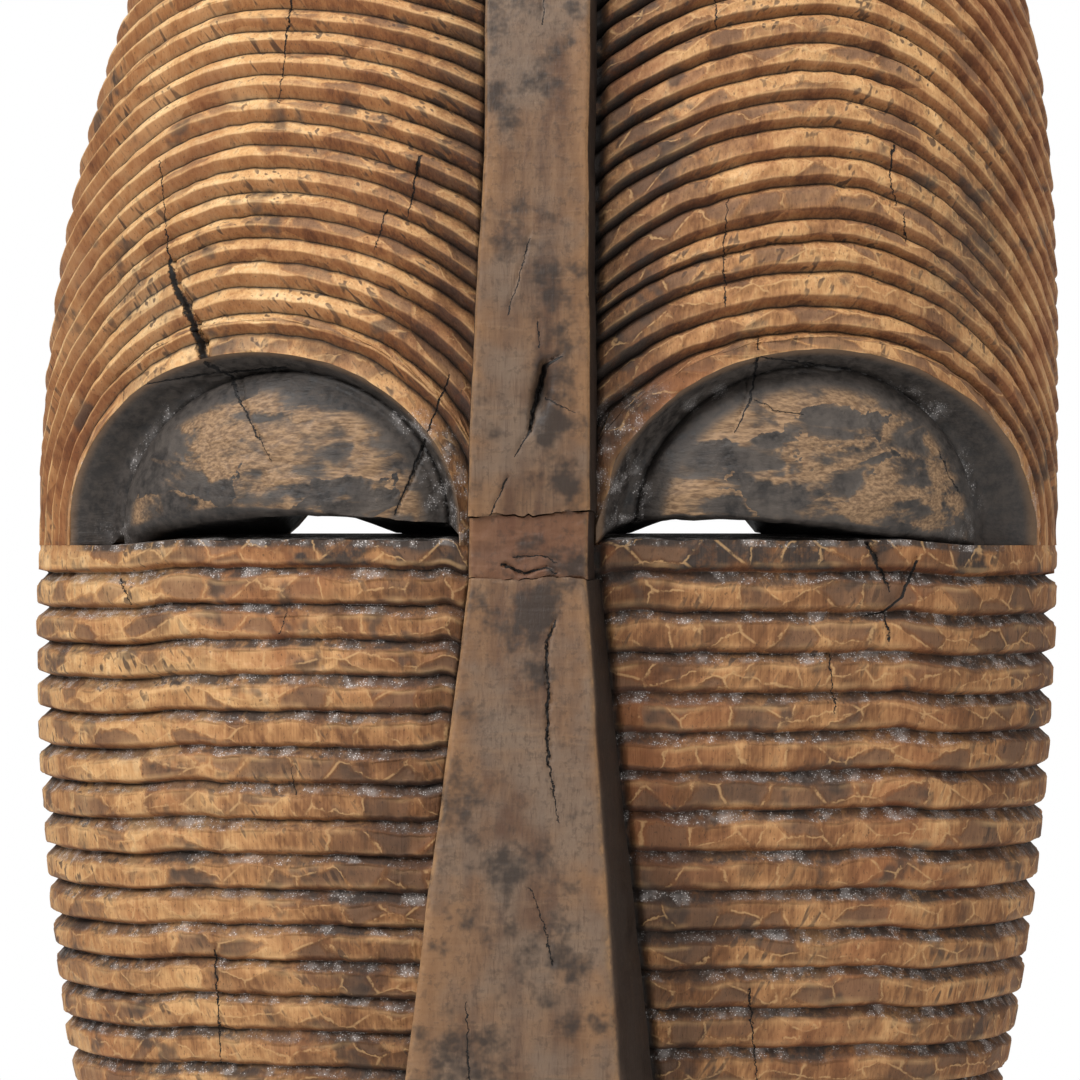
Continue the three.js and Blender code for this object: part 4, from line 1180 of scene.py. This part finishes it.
class Nodes:
    """Short way to wire a material: a number, colour or value may be given to any input."""

    def __init__(self, name):
        self.material = bpy.data.materials.new(name)
        self.material.use_nodes = True
        self.tree = self.material.node_tree
        self.tree.nodes.clear()
        self.shader = self.tree.nodes.new("ShaderNodeBsdfPrincipled")
        output = self.tree.nodes.new("ShaderNodeOutputMaterial")
        self.tree.links.new(self.shader.outputs[0], output.inputs[0])
        self.place = self.node("TexCoord", "Object")

    def put(self, target, value):
        if isinstance(value, Value):
            self.tree.links.new(value.socket, target)
        elif target.type == "RGBA":
            target.default_value = (*value, 1)
        else:
            target.default_value = value

    def node(self, kind, output=0, inputs=(), **settings):
        """A new node with these settings and inputs; gives back one of its outputs."""
        node = self.tree.nodes.new("ShaderNode" + kind)
        for key, value in settings.items():
            setattr(node, key, value)
        for key, value in dict(inputs).items():
            self.put(node.inputs[key], value)
        return Value(self, node.outputs[output])

    def parts(self, vector):
        first = self.node("SeparateXYZ", 0, {0: vector})
        return [Value(self, socket) for socket in first.socket.node.outputs]

    def maths(self, operation, a, b=0.0, clamp=False):
        return self.node("Math", 0, {0: a, 1: b}, operation=operation, use_clamp=clamp)

    def vector(self, operation, a, b=None, scale=None):
        inputs = {key: value for key, value in ((0, a), (1, b), ("Scale", scale)) if value is not None}
        output = 1 if operation in ("LENGTH", "DOT_PRODUCT") else 0
        return self.node("VectorMath", output, inputs, operation=operation)

    def attribute(self, name):
        return self.node("Attribute", "Fac", attribute_name=name)

    def noise(self, scale, stretch=(1, 1, 1), detail=3.0, roughness=0.55, turn=0.0, shift=(0, 0, 0),
              warp=0.0):
        place = self.place
        if turn:
            place = self.node("VectorRotate", 0, {"Vector": place, "Angle": turn}, rotation_type="Y_AXIS")
        place = self.node("Mapping", 0, {"Vector": place, "Location": shift, "Scale": stretch})
        return self.node("TexNoise", "Fac", {"Vector": place, "Scale": scale, "Detail": detail,
                                             "Roughness": roughness, "Distortion": warp})

    def span(self, value, low, high, to_low=0.0, to_high=1.0):
        limits = {"Value": value, "From Min": low, "From Max": high, "To Min": to_low, "To Max": to_high}
        return self.node("MapRange", 0, limits, interpolation_type="SMOOTHSTEP")

    def mix(self, factor, a, b, mode="MIX"):
        return self.node("Mix", 2, {0: factor, 6: a, 7: b},
                         data_type="RGBA", blend_type=mode, clamp_factor=True)

    def cuts(self, across, upward, wander):
        """Polygonal gouge cuts: distance to a cut's edge, and its own number."""
        place = self.node("CombineXYZ", 0, {0: across + wander, 1: upward + wander})
        found = []
        for feature, key in (("DISTANCE_TO_EDGE", "Distance"), ("F1", "Color")):
            found.append(self.node("TexVoronoi", key, {"Vector": place, "Scale": 1},
                                   voronoi_dimensions="2D", feature=feature))
        return found[0], self.parts(found[1])[0]

    def chalk(self, kaolin):
        """White specks and a thin haze where the kaolin lodged."""
        dots = self.node("TexVoronoi", "Distance", {"Vector": self.place, "Scale": 1500})
        clumps = self.noise(190, detail=3.0, roughness=0.6, shift=(2, 6, 9))
        specks = self.span(dots, 0.36, 0.18) * self.span(clumps, 0.44, 0.6)
        haze = self.span(clumps, 0.46, 0.75, 0, 0.32)
        return self.maths("MAXIMUM", specks, haze) * self.span(kaolin, 0.12, 0.75)

    def cracks(self, name):
        """1 inside the cracks of a piece, 0 away from them."""
        wander, fine = self.noise(420, detail=2.0), self.noise(1500, detail=2.0)
        sway = wander * 0.0022 + fine * 0.0009 - 0.00155
        moved = self.node("CombineXYZ", 0, {0: sway, 2: sway * 0.6})
        flat = self.vector("MULTIPLY", self.vector("ADD", self.place, moved), (1, 0, 1))
        total = None
        for a, b, first, last in segments(name):
            start, end = ([(x + LEAN * z) / 1000, 0, (z + EYE_LINE) / 1000] for x, z in (a, b))
            along = [end[i] - start[i] for i in range(3)]
            offset = self.vector("SUBTRACT", flat, start)
            dot = self.vector("DOT_PRODUCT", offset, along)
            t = self.maths("DIVIDE", dot, sum(v * v for v in along), clamp=True)
            nearest = self.vector("SCALE", along, scale=t)
            away = self.vector("LENGTH", self.vector("SUBTRACT", offset, nearest))
            ratio = away / (t * ((last - first) / 2000) + first / 2000)
            total = ratio if total is None else self.maths("MINIMUM", total, ratio)
        return self.span(total, 0.75, 1.5, 1.0, 0.0)

    def opened(self, name, colour, height, inside=None, dark=(0.006, 0.004, 0.003)):
        """Colour and height with the piece's cracks in them, on the front only."""
        crack = self.cracks(name)
        if inside:
            crack = crack * self.span(inside, 0, 0.3, 1, 0)
        return self.mix(crack, colour, dark), height - crack * 1.6

    def finish(self, colour, roughness, bump, distance, strength=1.0, shine=0.5):
        normal = self.node("Bump", 0, {"Strength": strength, "Distance": distance, "Height": bump})
        for key, value in (("Base Color", colour), ("Roughness", roughness), ("Normal", normal),
                           ("Specular IOR Level", shine)):
            self.put(self.shader.inputs[key], value)
        return self.material


def carved_wood(name, cracked, slant=0.0):
    """Weathered tan wood: grain, gouge facets, sooty grooves, white specks, worn edges, and painted shade
    under ridges and in creases.
    """
    n = Nodes(name)
    fibre = n.noise(1.0, (1500, 1500, 75), 2.0, 0.65)
    streak = n.noise(1.0, (330, 330, 26), 2.0, 0.6, shift=(3, 5, 1))
    mottle = n.noise(75, detail=3.0, shift=(1, 2, 3))
    patch = n.noise(24, detail=2.0, shift=(7, 2, 3))
    pores = n.noise(1.0, (1900, 1900, 900), 1.0, 0.6, shift=(2, 8, 4))
    hatch = n.noise(1.0, (560, 560, 85), 1.0, 0.5, turn=slant, shift=(4, 0, 2))
    dirt = n.noise(230, detail=3.0, roughness=0.7, shift=(4, 4, 4))
    under, soot_and_shade, face = n.attribute("under"), n.attribute("soot_and_shade"), n.attribute("face")
    edge, kaolin = n.attribute("edge"), n.attribute("kaolin")
    wander = mottle * 0.8 + dirt * 0.25
    rim, facet = n.cuts(n.attribute("along") * (1 / 13), n.attribute("level") * 1.3, wander)
    groove, inside = n.attribute("groove"), n.attribute("inside")

    lightness = n.attribute("tone_and_shade")
    for source, weight in ((mottle, 0.85), (streak, 0.3), (facet, 0.28), (fibre, 0.38), (hatch, 0.4)):
        lightness = lightness + (source - 0.5) * weight
    colour = n.node("ValToRGB", 0, {0: n.span(lightness, -0.15, 1.1)})
    ramp = colour.socket.node.color_ramp
    stops = [(0.0, (0.060, 0.024, 0.0095)), (0.3, (0.185, 0.078, 0.029)), (0.55, (0.37, 0.178, 0.067)),
             (0.8, (0.56, 0.315, 0.130)), (1.0, (0.74, 0.49, 0.245))]
    while len(ramp.elements) < len(stops):
        ramp.elements.new(0.5)
    for element, (place, shade) in zip(ramp.elements, stops):
        element.position, element.color = place, (*shade, 1)
    colour = n.mix(n.span(patch, 0.5, 0.72, 0, 0.5), colour, (0.29, 0.105, 0.038))
    smoked = n.span(facet, 0.25, 0.42, 0.62, 0.0) * n.span(rim, 0.03, 0.14)
    colour = n.mix(smoked * face, colour, (0.15, 0.082, 0.046))
    chatter = n.span(hatch, 0.56, 0.66) * n.span(patch, 0.62, 0.44) * n.span(mottle, 0.44, 0.56, 0.12, 0.85)
    colour = n.mix(chatter, colour, (0.060, 0.030, 0.017))
    # Painted shade: the down-facing facets are darkened by a multiply.
    colour = n.mix(under * 0.85, colour, n.mix(1.0, colour, (0.46, 0.31, 0.22), "MULTIPLY"))
    colour = n.mix(n.span(pores, 0.63, 0.74, 0, 0.6), colour, (0.05, 0.024, 0.012))
    smudge = n.span(n.noise(60, detail=3.0, roughness=0.65, shift=(9, 1, 5)), 0.58, 0.68, 0, 0.72)
    colour = n.mix(smudge, colour, (0.050, 0.033, 0.024))
    # Near-black from soot and from painted shade beside the crest and nose.
    soot_and_shade_mask = soot_and_shade * n.span(dirt, 0.28, 0.55, 0.35, 1.0)
    colour = n.mix(soot_and_shade_mask * 0.95, colour, n.mix(fibre, (0.013, 0.0095, 0.008), (0.058, 0.042, 0.034)))
    outline = n.span(rim, 0.008, 0.05, 0.62, 0.0) * n.span(dirt, 0.42, 0.56, 0.05, 0.9) * face
    pale = n.maths("MAXIMUM", edge * n.span(mottle, 0.38, 0.58, 0.05, 0.8), outline)
    colour = n.mix(pale, colour, (0.54, 0.325, 0.145))
    # Painted shade: near-black along the groove floors, in the gaps beside crest and nose and in the slits.
    colour = n.mix(groove * n.span(dirt, 0.2, 0.5, 0.7, 1.0), colour, (0.011, 0.007, 0.005))
    colour = n.mix(n.chalk(kaolin) * 0.9, colour, (0.66, 0.61, 0.58))
    hollow = n.mix(n.span(streak, 0.3, 0.7), (0.080, 0.043, 0.023), (0.22, 0.125, 0.064))
    hollow = n.mix(n.span(mottle, 0.45, 0.7, 0, 0.6), hollow, (0.05, 0.032, 0.022))
    colour = n.mix(inside, colour, hollow)
    height = fibre * 0.5 + hatch * 0.55 + dirt * (soot_and_shade * 0.8) - n.span(rim, 0.0, 0.28) * face * 0.9
    colour, height = n.opened(cracked, colour, height, inside)
    rough = n.span(lightness + soot_and_shade * -0.6, 0.1, 0.9, 0.78, 0.56)
    return n.finish(colour, rough, height, 0.00045, 0.9, shine=0.32)


def blackened_wood(name, cracked):
    """Charred socket and lid, rubbed back to tan wood on the crown of the dome, with painted shade under the
    rim.
    """
    n = Nodes(name)
    dome, rim = n.attribute("dome"), n.attribute("rim")
    kaolin, groove, inside = n.attribute("kaolin"), n.attribute("groove"), n.attribute("inside")
    fibre = n.noise(1.0, (260, 1300, 1300), 2.0, 0.65)
    level = n.noise(1.0, (34, 60, 120), 3.0, 0.6, warp=0.9)
    blotch = n.noise(62, detail=4.0, roughness=0.6, shift=(3, 1, 2))
    dirt = n.noise(330, detail=3.0, roughness=0.7)
    char = n.mix(n.span(dirt, 0.3, 0.7), (0.014, 0.0115, 0.0105), (0.052, 0.042, 0.036))
    bare = n.mix(n.span(fibre, 0.3, 0.7), (0.140, 0.078, 0.040), (0.335, 0.205, 0.108))
    x, _, z = n.parts(n.place)
    wander = blotch * 1.5 + dirt * 0.2
    ridge, facet = n.cuts(x * 44, z * 95, wander)
    rubbed = level * 0.8 + blotch * 0.75 + fibre * 0.06
    rubbed = rubbed + n.span(ridge, 0.0, 0.3, 0.12, -0.02) + n.span(facet, 0.35, 0.65, 0.07, -0.1)
    rubbed = n.span(rubbed, 0.76, 0.98) * n.span(dome, 0.35, 0.95, 0.0, 0.9)
    colour = n.mix(rubbed, char, bare)
    grey = n.span(blotch, 0.36, 0.62) * n.span(dome, 0.0, 1.0, 0.12, 0.62)
    colour = n.mix(grey * n.span(rubbed, 0.0, 0.7, 1, 0), colour, (0.105, 0.085, 0.07))
    colour = n.mix(rim * 0.5, colour, (0.19, 0.105, 0.05))
    # Painted shade: near-black under the rim and in the crease round the dome.
    colour = n.mix(groove, colour, (0.005, 0.004, 0.0035))
    colour = n.mix(n.chalk(kaolin) * 0.8, colour, (0.6, 0.56, 0.54))
    streak = n.noise(1.0, (330, 330, 26), 2.0, 0.6, shift=(3, 5, 1))
    hollow = n.mix(n.span(streak, 0.3, 0.7), (0.060, 0.034, 0.020), (0.17, 0.098, 0.052))
    colour = n.mix(inside, colour, n.mix(n.span(blotch, 0.4, 0.62, 0, 0.75), hollow, (0.035, 0.024, 0.018)))
    height = fibre * 0.5 + blotch * 0.8 + dirt * 0.5 - n.span(ridge, 0.0, 0.3) * (dome * 0.9)
    colour, height = n.opened(cracked, colour, height, inside, (0.004, 0.003, 0.003))
    return n.finish(colour, n.span(dirt, 0.3, 0.7, 0.5, 0.72), height, 0.0004, 0.9, shine=0.32)


def dark_wood(name, cracked, red=0.0):
    """Smoked, handled wood with a grey bloom, black smudges and pale rubbed edges; flanks, pits and the
    mouth's slot are painted near-black as shade.
    """
    n = Nodes(name)
    edge, flank_shade, pit_shade = n.attribute("edge"), n.attribute("flank_shade"), n.attribute("pit_shade")
    fibre = n.noise(1.0, (1500, 1500, 70), 2.0, 0.65)
    streak = n.noise(1.0, (200, 200, 30), 3.0, 0.6, shift=(3, 5, 1))
    bloom = n.noise(42, detail=3.0, shift=(5, 1, 2))
    smudge = n.noise(62, detail=4.0, roughness=0.65, shift=(8, 2, 1))
    dirt = n.noise(420, detail=3.0, roughness=0.7)
    bands = n.noise(1.0, (45, 60, 320), 2.0, 0.6, shift=(1, 7, 3), warp=0.4)
    colour = n.mix(n.span(streak, 0.3, 0.7), (0.070, 0.033, 0.018), (0.160, 0.088, 0.046))
    colour = n.mix(n.span(bloom, 0.40, 0.66, 0, 0.8), colour, (0.148, 0.102, 0.070))
    colour = n.mix(n.span(bands, 0.56, 0.72, 0, 0.4), colour, (0.185, 0.110, 0.062))
    colour = n.mix(n.span(fibre, 0.5, 0.75, 0, 0.45), colour, (0.055, 0.029, 0.018))
    worn = n.attribute("side") ** 2.5 * n.span(bloom, 0.6, 0.4, 0.1, 0.8)
    colour = n.mix(worn, colour, (0.235, 0.120, 0.052))
    colour = n.mix(red, colour, (0.125, 0.047, 0.023))
    colour = n.mix(n.span(smudge, 0.50, 0.66, 0, 0.88), colour, (0.026, 0.018, 0.014))
    colour = n.mix(n.span(dirt, 0.52, 0.66) * 0.35, colour, (0.035, 0.022, 0.015))
    colour = n.mix(edge * n.span(dirt, 0.35, 0.6, 0.1, 0.75), colour, (0.36, 0.205, 0.098))
    # Painted shade: the flanks of the bars are made near-black.
    colour = n.mix(flank_shade * 0.93, colour, (0.012, 0.0065, 0.004))
    # Painted shade: near-black in the crest's pit and inside the mouth's slot.
    colour = n.mix(pit_shade, colour, (0.007, 0.005, 0.004))
    colour, height = n.opened(cracked, colour, fibre * 0.4 + dirt * 0.45 + bands * 0.9)
    return n.finish(colour, n.span(smudge, 0.3, 0.7, 0.66, 0.5), height, 0.00035, 0.85, shine=0.3)


def plain_wood(name):
    n = Nodes(name)
    fibre = n.noise(1.0, (900, 60, 900), 4.0, 0.6)
    colour = n.mix(n.span(fibre, 0.3, 0.7), (0.13, 0.07, 0.034), (0.29, 0.17, 0.085))
    return n.finish(colour, 0.7, fibre, 0.0003)


def dull_steel(name):
    n = Nodes(name)
    grain = n.noise(900, detail=3.0)
    rust = n.noise(260, detail=5.0, roughness=0.65)
    colour = n.mix(n.span(rust, 0.55, 0.7), (0.21, 0.20, 0.19), (0.17, 0.075, 0.035))
    n.put(n.shader.inputs["Metallic"], n.span(rust, 0.5, 0.72, 0.95, 0.2))
    return n.finish(colour, n.span(rust, 0.4, 0.7, 0.42, 0.8), grain, 0.00012)


# ------------------------------------------------------------------ making the object


def dress(piece, material):
    piece.data.materials.clear()
    piece.data.materials.append(material)


for hand, slant, columns in (("left", 0.58, 231), ("right", -0.5, 213)):
    dress(brow(hand, columns), carved_wood("wood_forehead_" + hand, "forehead_" + hand, slant))
    dress(cheek(hand), carved_wood("wood_cheek_" + hand, "cheek_" + hand, slant))
    dress(lid(hand), blackened_wood("wood_lid_" + hand, "eyelid_" + hand))
dress(chin(), carved_wood("wood_chin", "chin_block"))
dress(crest(), dark_wood("wood_crest", "crest_band"))
dress(bridge(), dark_wood("wood_bridge", "bridge_patch", red=0.55))
dress(nose(), dark_wood("wood_nose", "nose_block"))
dress(mouth(), dark_wood("wood_mouth", "mouth_block"))

iron = dull_steel("iron_worn")
for part in hanger():
    dress(part, iron)
peg_finish = plain_wood("wood_peg")
for name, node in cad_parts.items():
    if "peg" in name:
        for slot in node.material_slots:
            slot.material = peg_finish

# ------------------------------------------------------------------ floor, light and camera


def softbox(name, place, target, size, power, colour=(1, 1, 1)):
    data = bpy.data.lights.new(name, "AREA")
    data.shape, data.size, data.size_y = "RECTANGLE", size[0], size[1]
    data.energy, data.color = power, colour
    light = bpy.data.objects.new(name, data)
    light.location = place
    light.rotation_euler = (Vector(target) - Vector(place)).to_track_quat("-Z", "Y").to_euler()
    bpy.context.scene.collection.objects.link(light)


eye_height = EYE_LINE / 1000
softbox("key", (-1.15, -1.25, eye_height + 1.35), (0, -0.05, eye_height), (0.9, 0.9), 40)
softbox("fill", (1.5, -1.5, eye_height + 0.3), (0, -0.05, eye_height), (1.2, 1.2), 10)
softbox("top", (0.2, -0.5, eye_height + 1.7), (0, -0.05, eye_height), (1.2, 0.8), 16)

world = bpy.data.worlds.new("studio")
bpy.context.scene.world = world
world.use_nodes = True
tree = world.node_tree
shine = tree.nodes["Background"]
shine.inputs["Color"].default_value = (1, 1, 1, 1)
ray = tree.nodes.new("ShaderNodeLightPath")
choose = tree.nodes.new("ShaderNodeMix")
choose.data_type = "FLOAT"
tree.links.new(ray.outputs["Is Camera Ray"], choose.inputs[0])
choose.inputs[2].default_value = 0.42
choose.inputs[3].default_value = 1.0
tree.links.new(choose.outputs[0], shine.inputs["Strength"])
bpy.context.scene.view_settings.view_transform = "Standard"

FLOOR = {"radius": 1.5, "below": 0.05, "corners": 96}
level = cad_box[0][2] - FLOOR["below"]
turns = np.linspace(0, 2 * math.pi, FLOOR["corners"] + 1)[:-1]
ring = [(math.cos(a) * FLOOR["radius"], math.sin(a) * FLOOR["radius"], level) for a in turns]
ground = bpy.data.meshes.new("floor")
ground.from_pydata(ring, [], [list(range(FLOOR["corners"]))])
floor = bpy.data.objects.new("floor", ground)
bpy.context.scene.collection.objects.link(floor)
paint = Nodes("floor_paint")
grain = paint.noise(30)
paint.finish(paint.mix(grain, (0.80, 0.80, 0.79), (0.84, 0.84, 0.83)), 0.8, grain, 0.0001)
ground.materials.append(paint.material)

CAMERA = {"azimuth": math.radians(2.63), "distance": 1.6, "lens": 186.066667, "sensor": 36.0,
          "aim": (0.0, -0.060, (EYE_LINE - 2.88) / 1000)}
camera_data = bpy.data.cameras.new("camera")
camera_data.sensor_width, camera_data.lens = CAMERA["sensor"], CAMERA["lens"]
camera = bpy.data.objects.new("camera", camera_data)
turn, away = CAMERA["azimuth"], CAMERA["distance"]
aim = CAMERA["aim"]
camera.location = (aim[0] + away * math.sin(turn), aim[1] - away * math.cos(turn), aim[2])
camera.rotation_euler = (math.pi / 2, 0, turn)
bpy.context.scene.collection.objects.link(camera)
bpy.context.scene.camera = camera
